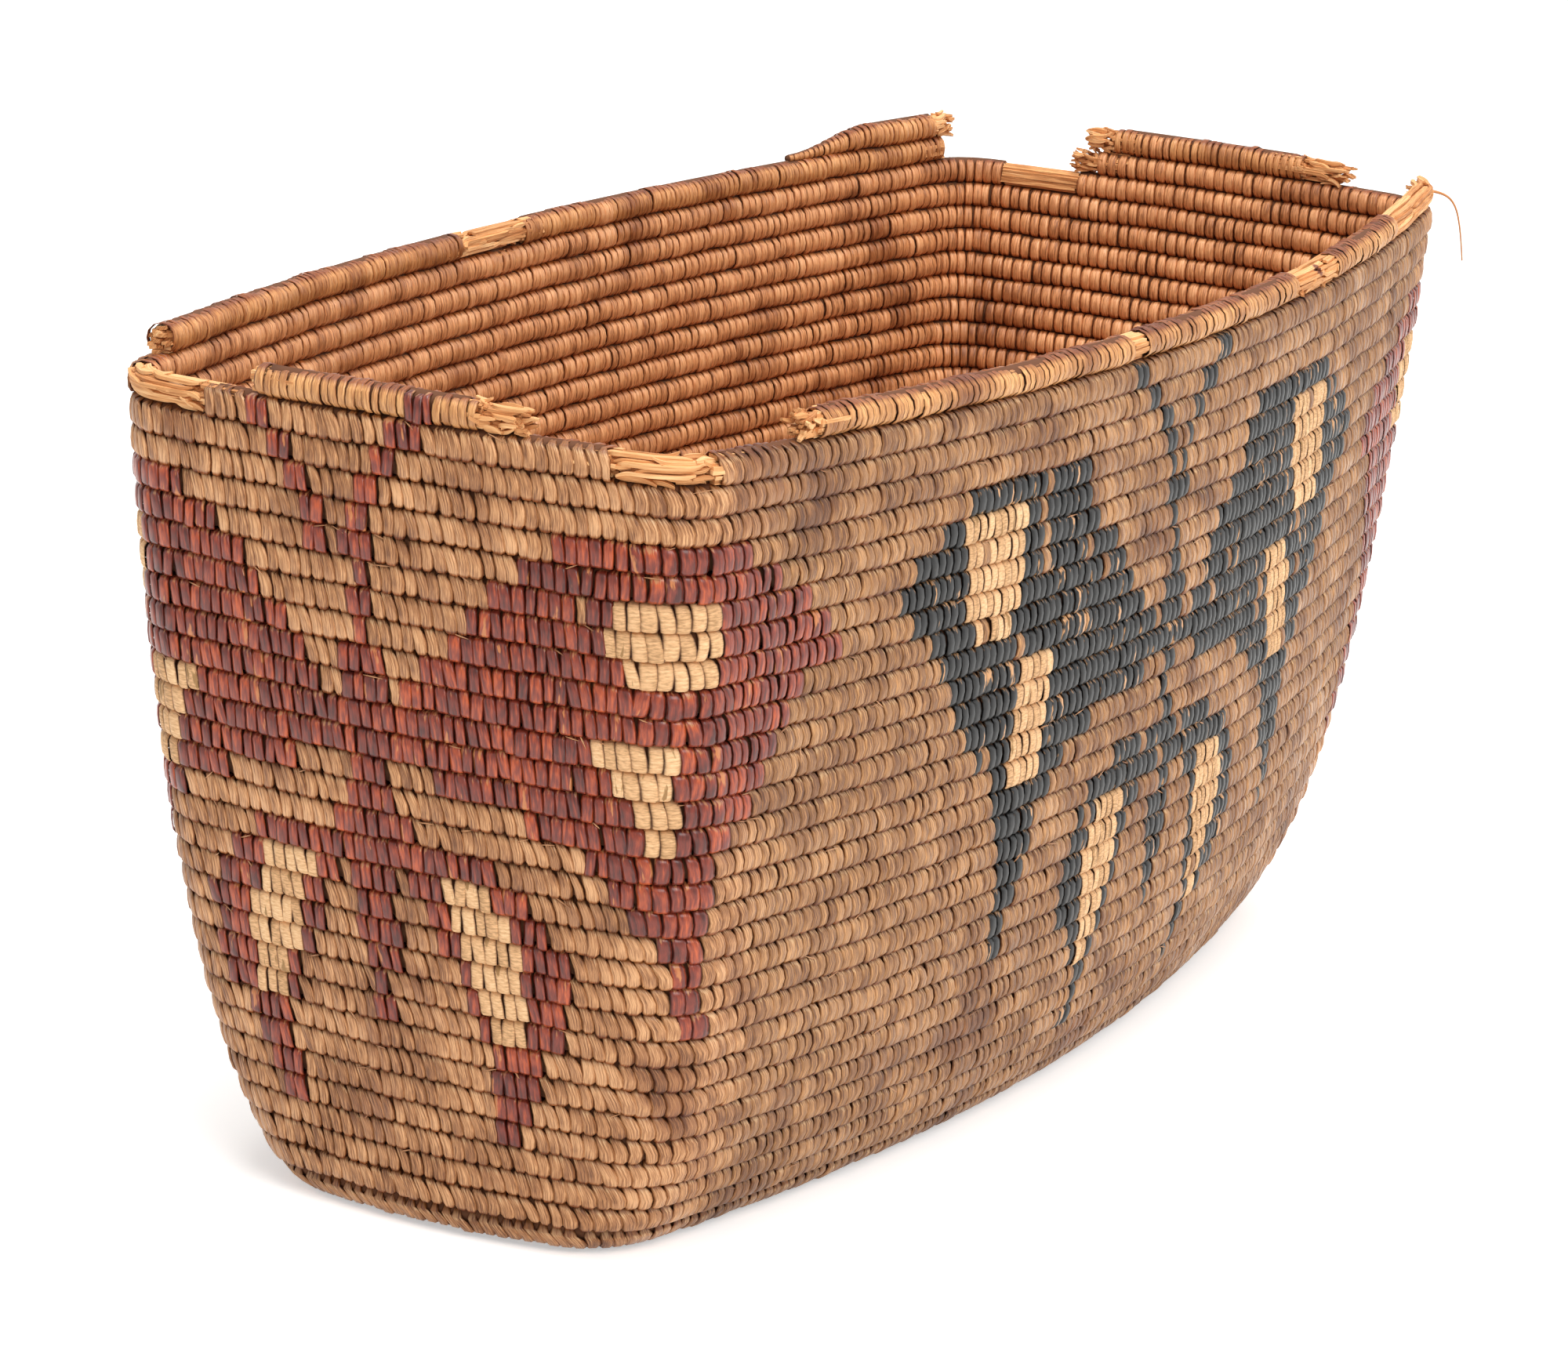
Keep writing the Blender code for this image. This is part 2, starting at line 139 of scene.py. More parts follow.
def wall_profile():
    """The coil's centre line by level: half length, half width, bows, corner radius and height."""
    step = 1 / LEVEL_STEPS
    wall = np.arange(-ABOVE_RIM_LEVELS, FOOT_END + step, step)
    at_rim = np.argmin(np.abs(wall))
    ends, sides = lean(wall, *END_LEAN_DEGREES), lean(wall, *SIDE_LEAN_DEGREES)

    def run_down(share):
        total = np.concatenate([[0], np.cumsum(COURSE_RISE * step * (share[1:] + share[:-1]) / 2)])
        return total - total[at_rim]

    length = RIM_LENGTH / 2 - COIL_WIDTH / 2 - run_down(np.sin(ends))
    width = RIM_WIDTH / 2 - COIL_WIDTH / 2 - run_down(np.sin(sides))
    drop = run_down((np.cos(ends) + np.cos(sides)) / 2)
    down = np.clip(wall / WALL_COURSES, 0, 1)
    side_bow = RIM_SIDE_BOW + (FOOT_SIDE_BOW - RIM_SIDE_BOW) * down
    end_bow = RIM_END_BOW + (FOOT_END_BOW - RIM_END_BOW) * down
    radius = RIM_CORNER_RADIUS + (FOOT_CORNER_RADIUS - RIM_CORNER_RADIUS) * down**3 - COIL_WIDTH / 2
    loops = max(2, round(width[-1] / COURSE_RISE))
    core = math.floor(FOOT_END) + loops + 1 / 2 - CORE_SHARE + CORE_LEFT_SHARE
    base = np.arange(wall[-1] + step, core + step, step)
    left = (core - base) / (core - wall[-1])
    corner_width = width[-1] - side_bow[-1]
    base_radius = corner_width * left * (1 - (1 - radius[-1] / corner_width) * left)
    height = np.concatenate([drop[-1] - drop, np.zeros(len(base))]) + COIL_WIDTH / 2 - FLAT_DEPTH
    return core, {
        "level": np.concatenate([wall, base]),
        "length": np.concatenate([length, length[-1] - COURSE_RISE * (base - wall[-1])]),
        "width": np.concatenate([width, width[-1] * left]),
        "side_bow": np.concatenate([side_bow, side_bow[-1] * left]),
        "end_bow": np.concatenate([end_bow, end_bow[-1] * left]),
        "radius": np.concatenate([radius, base_radius]),
        "height": height,
    }


CORE_LEVEL, PROFILE = wall_profile()
print(f"the coil runs from level 0 at the rim to level {CORE_LEVEL:.1f} at its core")

# %% Points on the coil


def outline_runs():
    """The rim's sides and corner arcs, counterclockwise from the front side, as shares of its length."""
    length = RIM_LENGTH - 2 * RIM_CORNER_RADIUS
    width = RIM_WIDTH - 2 * RIM_SIDE_BOW - 2 * RIM_CORNER_RADIUS
    arc = RIM_CORNER_RADIUS * math.pi / 2
    runs = np.array([length, arc, width, arc] * 2)
    return runs / runs.sum()


RUN_SHARES = outline_runs()
RUN_STARTS = np.concatenate([[0], np.cumsum(RUN_SHARES)[:-1]])


def wall_points(share, level):
    """Points of the coil's centre line, one row each, for arrays of shares and levels."""
    names = ("length", "width", "side_bow", "end_bow", "radius", "height")
    values = [np.interp(level, PROFILE["level"], PROFILE[name]) for name in names]
    half_length, half_width, side_bow, end_bow, arc_x, height = values
    arc_y = arc_x * half_width / (half_width - side_bow)
    along = (share - RUN_SHARES[1] / 2) % 1
    run = np.searchsorted(RUN_STARTS, along, side="right") - 1
    part = np.clip((along - RUN_STARTS[run]) / RUN_SHARES[run], 0, 1)
    facing = (run // 2 - 1) * math.pi / 2
    angle, corner = facing + part * math.pi / 2, facing + math.pi / 4
    arc_point_x = np.copysign(half_length - arc_x, np.cos(corner)) + arc_x * np.cos(angle)
    arc_point_y = np.copysign(half_width - arc_y, np.sin(corner)) + arc_y * np.sin(angle)
    on_end = run // 2 % 2 == 1
    across = 2 * part - 1
    side_x = np.where(on_end, half_length * np.cos(facing), (arc_x - half_length) * across * np.sin(facing))
    side_y = np.where(on_end, (half_width - arc_y) * across * np.cos(facing), half_width * np.sin(facing))
    x = np.where(run % 2 == 1, arc_point_x, side_x)
    y = np.where(run % 2 == 1, arc_point_y, side_y)
    ends = end_bow * (y / half_width) ** 2
    sides = side_bow * (x / half_length) ** 2
    raised = 1 - np.clip(level / WALL_COURSES, 0, 1)
    lift = RIM_CORNER_LIFT * ((x / half_length) ** 2 - 1 / 2) * raised
    return np.stack([x - ends * x / half_length, y - sides * y / half_width, height + lift], axis=1)


ROUTE_STEP_SHARE = 0.001
TANGENT_SHARE = 0.0015


def unit(vectors):
    """The same vectors, each of length 1."""
    return vectors / np.linalg.norm(vectors, axis=1)[:, None]


def directions(share, level):
    """The ways out, up and ahead at places on the coil, and half of the course's rise there."""
    ahead = unit(wall_points(share + TANGENT_SHARE, level) - wall_points(share - TANGENT_SHARE, level))
    below = np.minimum(level + 1, CORE_LEVEL - CORE_LEFT_SHARE)
    rise = wall_points(share, level - 1) - wall_points(share, below)
    out = unit(np.cross(ahead, unit(rise)))
    up = unit(np.cross(out, ahead))
    half_rise = np.einsum("ij,ij->i", rise, up) / (2 * (below - level + 1))
    return out, up, ahead, half_rise


def route(turn, start, end):
    """A length of coil as a table: distance along, share, centre, out, up and half of the course's rise."""
    share = np.linspace(start, end, max(8, round((end - start) / ROUTE_STEP_SHARE)))
    level = turn - share + 1 / 2
    centre = wall_points(share, level)
    out, up, _, half_rise = directions(share, level)
    step = np.linalg.norm(np.diff(centre, axis=0), axis=1)
    distance = np.concatenate([[0], np.cumsum(step)])
    columns = (distance, share, centre, out, up, half_rise)
    return dict(zip(("distance", "share", "centre", "out", "up", "half_rise"), columns))


def along_route(table, name, distance):
    """A column of the route's table at given distances."""
    column = table[name]
    if column.ndim == 1:
        return np.interp(distance, table["distance"], column)
    return np.stack([np.interp(distance, table["distance"], column[:, i]) for i in range(3)], axis=1)


def course_nodes(number):
    """The solids of a wall course: most courses have one, and a few are cut at a corner."""
    return [name for name in frame["nodes"] if name.startswith(f"wall_course_{number:02d}")]


def farthest_from_nodes(names, turn, start, end):
    """How far the route runs outside the box of its solids, in metres."""
    low = np.min([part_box(name)[0] for name in names], axis=0)
    high = np.max([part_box(name)[1] for name in names], axis=0)
    centre = route(turn, start, end)["centre"]
    return max((low - centre).max(), (centre - high).max())


FIRST_TURN = math.floor(FOOT_END) + 1
COURSES = {number: FIRST_TURN + 1 - number for number in range(1, 31)}
worst = max(
    farthest_from_nodes(course_nodes(number), turn, SEAM_SHARE, SEAM_SHARE + 1)
    for number, turn in COURSES.items()
)
print(f"the route leaves no course's box by more than {worst / MM:.1f} mm")

# %% [markdown]
# ## The broken rim
#
# The solids also say where the top courses are wrapped and where they are bare. Each length has a
# turn and two shares. What a length is called is the name of the solid that it replaces.

# %% Lengths of coil at the rim
WRAPPED_ARC_SHARES = {
    "second_coil_back_left": (2, 0.690, 0.868),
    "second_coil_left_end": (2, 0.895, 0.985),
    "second_coil_front": (1, 0.006, 0.462),
    "rim_coil_back": (1, 0.509, 0.685),
    "rim_coil_back_left": (1, 0.714, 0.857),
    "rim_coil_left_end": (1, 0.908, 0.957),
    "rim_coil_front": (0, 0.036, 0.240),
    "rim_coil_front_right": (0, 0.268, 0.321),
    "rim_coil_right_end": (0, 0.408, 0.458),
    "coil_finish_back": (0, 0.513, 0.569),
}
BARE_ARC_SHARES = {
    "bare_splints_back_left_corner": (2, 0.868, 0.893),
    "bare_splints_front_left_corner": (2, 0.985, 1.006),
    "bare_splints_second_coil_end": (1, 0.462, 0.468),
    "bare_splints_back": (1, 0.685, 0.714),
    "bare_splints_left_end": (1, 0.957, 0.966),
    "bare_splints_front_start": (0, 0.031, 0.036),
    "bare_splints_front": (0, 0.240, 0.268),
    "bare_splints_front_right_corner": (0, 0.321, 0.374),
    "bare_splints_right_end_front": (0, 0.397, 0.408),
    "bare_splints_right_end_back": (0, 0.458, 0.464),
    "bare_splints_back_right_corner": (0, 0.506, 0.513),
}
print(f"{len(WRAPPED_ARC_SHARES)} wrapped lengths and {len(BARE_ARC_SHARES)} bare ones at the rim")

# %% [markdown]
# ## The figures
#
# The figures are traditional ones: a red insect on each end, whose wings wrap round the corners,
# and a black one on each long side. Each is the same left and right of a stem, so only one half is
# drawn. An outline's points are a share of the way round, counted from the stem, and a course.
# A stitch is imbricated if its middle lies in an outline, as a maker counts stitches from a stem.

# %% Outlines of the figures
RED_WING_SHARES = (
    (0.046, 4.0), (0.079, 4.4), (0.094, 5.9), (0.106, 7.4), (0.115, 8.8), (0.112, 9.6), (0.098, 10.3),
    (0.096, 12.2), (0.090, 13.2), (0.083, 14.8), (0.076, 16.0), (0.0745, 19.5), (0.0745, 23.0),
    (0.0705, 23.0), (0.069, 21.3), (0.066, 19.6), (0.061, 18.2), (0.053, 16.3), (0.042, 15.3),
    (0.027, 14.3), (0.0, 13.5), (0.0, 11.7), (0.007, 11.5), (0.012, 10.5), (0.022, 8.4), (0.031, 6.6),
    (0.044, 4.6),
)
RED_LOBE_SHARES = (
    (0.0, 15.7), (0.022, 16.3), (0.035, 17.4), (0.041, 18.5), (0.046, 20.0), (0.048, 21.8), (0.046, 23.2),
    (0.040, 24.2), (0.040, 26.0), (0.036, 27.9), (0.032, 27.9), (0.030, 26.0), (0.0285, 24.0),
    (0.024, 22.5), (0.0205, 21.2), (0.015, 19.8), (0.0125, 18.8), (0.007, 17.6), (0.0, 17.4),
)
RED_STEM_SHARES = (
    (0.0, 6.0), (0.002, 6.0), (0.002, 9.4), (0.005, 9.6), (0.005, 21.6), (0.002, 21.8), (0.002, 23.8),
    (0.0, 23.8),
)
RED_FEELER_SHARES = (
    (0.0190, 0.4), (0.0250, 0.4), (0.0195, 2.0), (0.0140, 3.4), (0.0080, 5.0), (0.0055, 6.4), (0.0, 6.4),
    (0.0035, 4.4), (0.0115, 2.6),
)
RED_CREAM_SHARES = (
    ((0.058, 6.4), (0.077, 6.4), (0.077, 9.6), (0.062, 9.6), (0.054, 8.6), (0.054, 7.4)),
    (
        (0.048, 11.2), (0.0675, 11.2), (0.0695, 13.2), (0.0690, 15.8), (0.061, 15.8), (0.061, 14.2),
        (0.054, 12.6),
    ),
    (
        (0.016, 18.0), (0.029, 18.0), (0.0325, 19.4), (0.0365, 20.6), (0.0365, 22.8), (0.035, 23.9),
        (0.031, 23.9), (0.0265, 22.6), (0.0225, 20.6),
    ),
)
BLACK_WING_SHARES = (
    (0.045, 3.4), (0.090, 3.8), (0.100, 4.8), (0.117, 6.8), (0.114, 8.0), (0.104, 9.6), (0.099, 12.0),
    (0.0915, 14.0), (0.086, 15.6), (0.084, 18.0), (0.0845, 22.9), (0.0800, 22.9), (0.0775, 20.4),
    (0.0695, 18.6), (0.0675, 17.0), (0.058, 15.6), (0.044, 14.1), (0.012, 12.9), (0.0, 12.6), (0.0, 11.9),
    (0.0065, 11.5), (0.018, 9.5), (0.0286, 7.2), (0.037, 6.0), (0.043, 4.0),
)
BLACK_LOBE_SHARES = (
    (0.0, 15.4), (0.024, 15.9), (0.036, 16.3), (0.046, 18.0), (0.051, 19.5), (0.053, 21.0), (0.050, 22.5),
    (0.044, 23.5), (0.036, 25.0), (0.0335, 27.5), (0.030, 27.5), (0.030, 25.3), (0.028, 23.5),
    (0.0245, 22.0), (0.0215, 20.5), (0.0185, 18.6), (0.008, 17.2), (0.0, 17.0),
)
BLACK_STEM_SHARES = (
    (0.0, 4.4), (0.0055, 4.4), (0.004, 6.4), (0.002, 7.0), (0.002, 9.4), (0.005, 9.8), (0.004, 13.0),
    (0.003, 14.0), (0.003, 17.6), (0.0055, 18.2), (0.0055, 21.4), (0.002, 22.2), (0.002, 23.8), (0.0, 23.8),
)
BLACK_FEELER_SHARES = (
    (0.0235, 0.5), (0.028, 0.5), (0.019, 1.6), (0.013, 2.6), (0.008, 3.8), (0.006, 4.6), (0.0025, 4.6),
    (0.0035, 3.6), (0.008, 2.4), (0.014, 1.4),
)
BLACK_CREAM_SHARES = (
    ((0.069, 5.0), (0.093, 5.0), (0.094, 8.0), (0.090, 9.6), (0.080, 9.8), (0.072, 8.4)),
    ((0.058, 10.6), (0.071, 10.6), (0.077, 12.4), (0.079, 16.0), (0.067, 16.0), (0.062, 12.6)),
    (
        (0.021, 17.5), (0.035, 17.5), (0.0395, 19.0), (0.0415, 20.4), (0.040, 21.4), (0.037, 24.6),
        (0.032, 24.6), (0.027, 21.4), (0.0245, 20.0),
    ),
)
RED_SHAPES = (RED_WING_SHARES, RED_LOBE_SHARES, RED_STEM_SHARES, RED_FEELER_SHARES)
BLACK_SHAPES = (BLACK_WING_SHARES, BLACK_LOBE_SHARES, BLACK_STEM_SHARES, BLACK_FEELER_SHARES)
RED_STEM_AT_SHARE = 0.931
BLACK_STEM_AT_SHARE = 0.180
BLACK_STEM_FROM_COURSE = 5.0
BLACK_STEM_DRIFT_SHARE = 0.00115
RED_FEELER_SHIFT_SHARE = -0.006
RED_LEFT_LIGHT_SHIFT_SHARE = 0.010

# Each kind of surface is also the number of its material slot.
PLAIN, RED, BLACK, CREAM, RIM, CORE, BARE = range(7)


def inside(points, outline):
    """Which points lie in an outline, by counting the edges that a line from each one crosses."""
    found = np.zeros(len(points), bool)
    for (x0, y0), (x1, y1) in zip(outline, outline[1:] + outline[:1]):
        crosses = (y0 > points[:, 1]) != (y1 > points[:, 1])
        run = np.where(y1 == y0, 1, y1 - y0)
        found ^= crosses & (points[:, 0] < (x1 - x0) * (points[:, 1] - y0) / run + x0)
    return found


def stem_offset(turn, share, stem, half_turns):
    """Shares from a figure's stem, and the course as the first figure of its colour would count it."""
    away = share - stem - half_turns / 2
    wrapped = np.round(away)
    return away - wrapped, turn - half_turns / 2 - wrapped


def figure_of(turn, share):
    """The kind of each stitch, for arrays of whole turns and shares of the way round."""
    kind = np.full(len(share), PLAIN)
    for half_turns in (0, 1):
        red_away, red_course = stem_offset(turn, share, RED_STEM_AT_SHARE, -half_turns)
        away, course = stem_offset(turn, share, BLACK_STEM_AT_SHARE, half_turns)
        drifted = away - BLACK_STEM_DRIFT_SHARE * (course - BLACK_STEM_FROM_COURSE)
        for colour, from_stem, at_course, shapes, lights in (
            (RED, red_away, red_course, RED_SHAPES, RED_CREAM_SHARES),
            (BLACK, drifted, course, BLACK_SHAPES, BLACK_CREAM_SHARES),
        ):
            for outline in shapes:
                shift = RED_FEELER_SHIFT_SHARE if outline is RED_FEELER_SHARES else 0
                points = np.stack([np.abs(from_stem - shift), at_course], axis=1)
                kind[inside(points, outline)] = colour
            for outline in lights:
                moves = (from_stem < 0) & (outline is RED_CREAM_SHARES[1])
                shift = np.where(moves, RED_LEFT_LIGHT_SHIFT_SHARE, 0)
                points = np.stack([np.abs(from_stem) + shift, at_course], axis=1)
                kind[inside(points, outline)] = CREAM
    return kind


trial = figure_of(np.full(400, 8.0), np.linspace(0, 1, 400, endpoint=False))
print("stitches of each kind in one course:", np.bincount(trial, minlength=4).tolist())

# %% [markdown]
# ## One stitch
#
# A stitch is a strand of split root that goes once round the bundle of splints. Its template is a
# low crowned section, spun once round X: X runs across the strand, and the distance from X, less
# one, is the height of its crown. An Array modifier could carry the finished shape, but a real row
# varies from stitch to stitch, so the copies are straight and plain, and are shaped when they are
# bent along the coil.

# %% A straight row of stitches
STATIONS = 12
STRAND_SECTION = ((-0.5, 0.0), (-0.25, 1.0), (0.0, 1.0), (0.25, 1.0), (0.5, 0.0))


def finished_mesh(shape, name):
    """A bmesh written to a new mesh, and then freed."""
    mesh = bpy.data.meshes.new(name)
    shape.to_mesh(mesh)
    shape.free()
    return mesh


def stitch_template():
    """A closed ring of root, one unit wide, with a crown one unit high."""
    shape = bmesh.new()
    corners = [shape.verts.new((across, 1 + crown, 0)) for across, crown in STRAND_SECTION]
    edges = [shape.edges.new((corners[i], corners[i - 1])) for i in range(len(corners))]
    ring = {"geom": corners + edges, "cent": (0, 0, 0), "axis": (1, 0, 0), "angle": math.tau}
    bmesh.ops.spin(shape, **ring, steps=STATIONS, use_merge=True)
    bmesh.ops.recalc_face_normals(shape, faces=shape.faces)
    return finished_mesh(shape, "stitch_template")


def straight_row(template, count):
    """Copies of a mesh in a row, one unit apart along X, made by an Array modifier."""
    helper = bpy.data.objects.new("row_helper", template)
    bpy.context.scene.collection.objects.link(helper)
    copies = helper.modifiers.new("copies", "ARRAY")
    copies.count = count
    copies.use_relative_offset = False
    copies.use_constant_offset = True
    copies.constant_offset_displace = (1, 0, 0)
    bpy.context.view_layer.update()
    mesh = bpy.data.meshes.new_from_object(helper.evaluated_get(bpy.context.evaluated_depsgraph_get()))
    bpy.data.objects.remove(helper)
    return mesh


def vertex_places(mesh):
    """A mesh's vertices as an array, one row each."""
    values = np.empty(len(mesh.vertices) * 3)
    mesh.vertices.foreach_get("co", values)
    return values.reshape(-1, 3)


STITCH = stitch_template()
print(f"a stitch has {len(STITCH.vertices)} vertices and {len(STITCH.polygons)} faces")

# %% [markdown]
# ## The shapes of a stitch
#
# Seen from outside, a plain stitch is a bead: its lower end is round and comes out of the top of the
# stitch below, whose top it splits, so dark slits show there, deepened by painted shade. An imbricated
# stitch is a flat tile.
# Dyed bark is worn to rounder bars. A rim wrap is thin and close. Each shape is a table by station,
# 30 degrees apart from the bottom, out and up to the top, then down the inner face. Its numbers are
# millimetres, and widths are shares of the pitch. A groove splits the top of a plain stitch and the
# inner face of every stitch, some more than others.

# %% Shape tables
INNER_OUT = (-2.2, -3.55, -3.95, -3.55, -2.2)
INNER_UP = (3.4, 2.05, 0.0, -2.05, -3.4)
INNER_WIDTH_SHARES = (0.92, 1.03, 1.08, 1.05, 0.92)
INNER_CROWN = (0.5, 0.62, 0.68, 0.62, 0.5)
OUTER_SPLIT = (0.0, 0.0, 0.05, 0.12, 0.3, 0.5, 0.4)
INNER_SPLIT = (0.25, 0.35, 0.4, 0.35, 0.25)
SHAPE_TABLES = {
    PLAIN: {
        "out": (1.5, 3.4, 4.05, 4.1, 3.75, 3.1, 1.0),
        "up": (-3.9, -3.65, -2.5, -0.3, 1.8, 3.2, 3.7),
        "width_shares": (0.65, 0.98, 1.18, 1.2, 1.16, 0.9, 0.55),
        "crown": (0.4, 0.55, 0.65, 0.65, 0.6, 0.45, 0.35),
    },
    RED: {
        "out": (1.5, 3.85, 4.3, 4.3, 3.95, 3.0, 0.8),
        "up": (-3.4, -3.35, -2.5, 0.0, 2.2, 3.2, 3.5),
        "width_shares": (0.9, 1.0, 1.04, 1.04, 1.03, 1.0, 0.85),
        "crown": (0.18, 0.24, 0.28, 0.3, 0.28, 0.24, 0.2),
    },
    BLACK: {
        "out": (1.4, 3.5, 4.1, 4.2, 3.9, 3.0, 0.8),
        "up": (-3.7, -3.5, -2.4, 0.0, 2.1, 3.2, 3.6),
        "width_shares": (0.7, 0.94, 1.06, 1.08, 1.05, 0.9, 0.65),
        "crown": (0.4, 0.55, 0.62, 0.62, 0.58, 0.5, 0.4),
    },
    RIM: {
        "out": (0.4, 2.2, 3.55, 3.9, 3.4, 2.0, 0.0),
        "up": (-3.5, -3.2, -1.9, 0.0, 1.9, 3.3, 3.8),
        "width_shares": (0.9, 1.0, 1.03, 1.03, 1.03, 1.03, 1.0),
        "crown": (0.13, 0.15, 0.15, 0.15, 0.15, 0.15, 0.15),
    },
}
SHAPE_TABLES[CREAM] = SHAPE_TABLES[RED]


def shape_table(name, inner, size):
    """One measure of every kind of stitch, by kind and station, as numbers of the given size."""
    return np.array([SHAPE_TABLES[kind][name] + inner for kind in (PLAIN, RED, BLACK, CREAM, RIM)]) * size


OUT_BY_KIND = shape_table("out", INNER_OUT, MM)
UP_BY_KIND = shape_table("up", INNER_UP, MM)
WIDTH_BY_KIND = shape_table("width_shares", INNER_WIDTH_SHARES, 1)
CROWN_BY_KIND = shape_table("crown", INNER_CROWN, MM)
SPLIT_DEPTH = np.array(OUTER_SPLIT + INNER_SPLIT) * MM
FIRST_INNER = STATIONS - len(INNER_OUT)
print(f"{OUT_BY_KIND.shape[0]} kinds of stitch, {OUT_BY_KIND.shape[1]} stations each")

# %% [markdown]
# ## Bending a row along the coil
#
# Each vertex keeps its stitch, its station and its place across the strand. The route gives a centre
# and two directions at every distance along the coil, so a corner fans the stitches out by itself.
# A stitch leans back at its top and bows forward in its middle, as a strand pulled tight does.
# Small seeded differences keep the rows from looking made by a machine. The same numbers go into
# attributes that the materials read: where a point is on its stitch, and what the stitch is like.

# %% Sewing a length of coil
STITCH_PITCH = 3.2 * MM
RIM_PITCH = 2.3 * MM
BASE_PITCH = 4.0 * MM
HALF_COURSE = COURSE_RISE / 2
CORE_RADIUS = 3.0 * MM
CORE_TALL_SHARE = 1.3
CORE_SIDES = 8
CORE_STEP = 5.0 * MM
LEAST_HEIGHT = 0.05 * MM
LEAN_SHARES = (-0.27, -0.14)
BOW_SHARES = (0.28, 0.34)
TILE_LEAN_SHARE = 0.4
STRAND_VARIES_SHARE = 0.08
LEAN_VARIES_SHARE = 0.07
JITTER = 0.12 * MM
WORN_SHARE = 0.45
LOST_SHARES = {RED: 0.004, BLACK: 0.03, CREAM: 0.02}
CORNER_BLEND_SHARE = 0.02
WAVES = ((0.2 * MM, 26.14), (0.1 * MM, 95.37))
THINNED_LENGTH = 42.0 * MM
TIP_SHARE = 0.28
SPLIT_HALF_SHARE = 0.1
INNER_FROM_SHARE = 0.2
ROW_SEEDS = (1000, 100)

# The strand map's steps from station to station, from stitch to stitch, and from row to row.
STATION_MM = 2.0
NEXT_STITCH_MM = 7.3
NEXT_ROW_MM = 31.0
MAP_ROWS = 17


def long_side(share):
    """1 on the long sides, 0 on the short ends, with an even change at the corners."""
    near = (share - RUN_SHARES[1] / 2) % 0.5
    return smooth_step(near / CORNER_BLEND_SHARE) * smooth_step((RUN_SHARES[0] - near) / CORNER_BLEND_SHARE)


def placed(table, along, out, up):
    """Points beside the route, by distance along it, outwards and up, and none below the floor."""
    way_out, way_up = along_route(table, "out", along), along_route(table, "up", along)
    points = along_route(table, "centre", along) + way_out * out[:, None] + way_up * up[:, None]
    points[:, 2] = np.maximum(points[:, 2], LEAST_HEIGHT)
    return points


def wander(turn, share):
    """How far a course strays from its even route, in metres: long waves and short ones."""
    return sum(size * np.sin(math.tau * count * (share - turn)) for size, count in WAVES)


def thinned(along, out, up, tip):
    """The same section, drawn in and lowered on to the course below over the last stretch of a coil."""
    left = 1 - (1 - TIP_SHARE) * smooth_step((along - tip + THINNED_LENGTH) / THINNED_LENGTH)
    return out * left, up * left - (1 - left) * HALF_COURSE


def set_attribute(mesh, name, columns):
    """Three numbers for each vertex, which a material can read by name."""
    layer = mesh.attributes.new(name, "FLOAT_VECTOR", "POINT")
    layer.data.foreach_set("vector", np.stack(columns, axis=1).astype(np.float32).ravel())


def set_finish(mesh, finish):
    """The finish of each face as the number of its material slot: one for all, or one for each."""
    slots = np.full(len(mesh.polygons), finish, np.int32)
    mesh.polygons.foreach_set("material_index", slots)


def corner_vertices(mesh):
    """The vertex at each corner of each face."""
    found = np.empty(len(mesh.loops), int)
    mesh.loops.foreach_get("vertex_index", found)
    return found


def set_map(mesh, u, v):
    """The UV map that carries the grain, from two numbers for each corner of each face."""
    flat = np.stack([u, v], axis=1).astype(np.float32)
    mesh.uv_layers.new(name="strand").data.foreach_set("uv", flat.ravel())


def set_strand_map(mesh, station, across, stitch):
    """A map in millimetres across and along each strand, unrolled so that no face runs backwards."""
    corners = corner_vertices(mesh)
    by_face = station[corners].reshape(-1, 4)
    wraps = (by_face.max(axis=1) - by_face.min(axis=1)) > STATIONS / 2
    by_face = np.where(wraps[:, None] & (by_face == 0), STATIONS, by_face)
    u = across[corners] / MM + stitch[corners] * NEXT_STITCH_MM
    v = by_face.ravel() * STATION_MM + stitch[corners] % MAP_ROWS * NEXT_ROW_MM
    set_map(mesh, u, v)
    return by_face


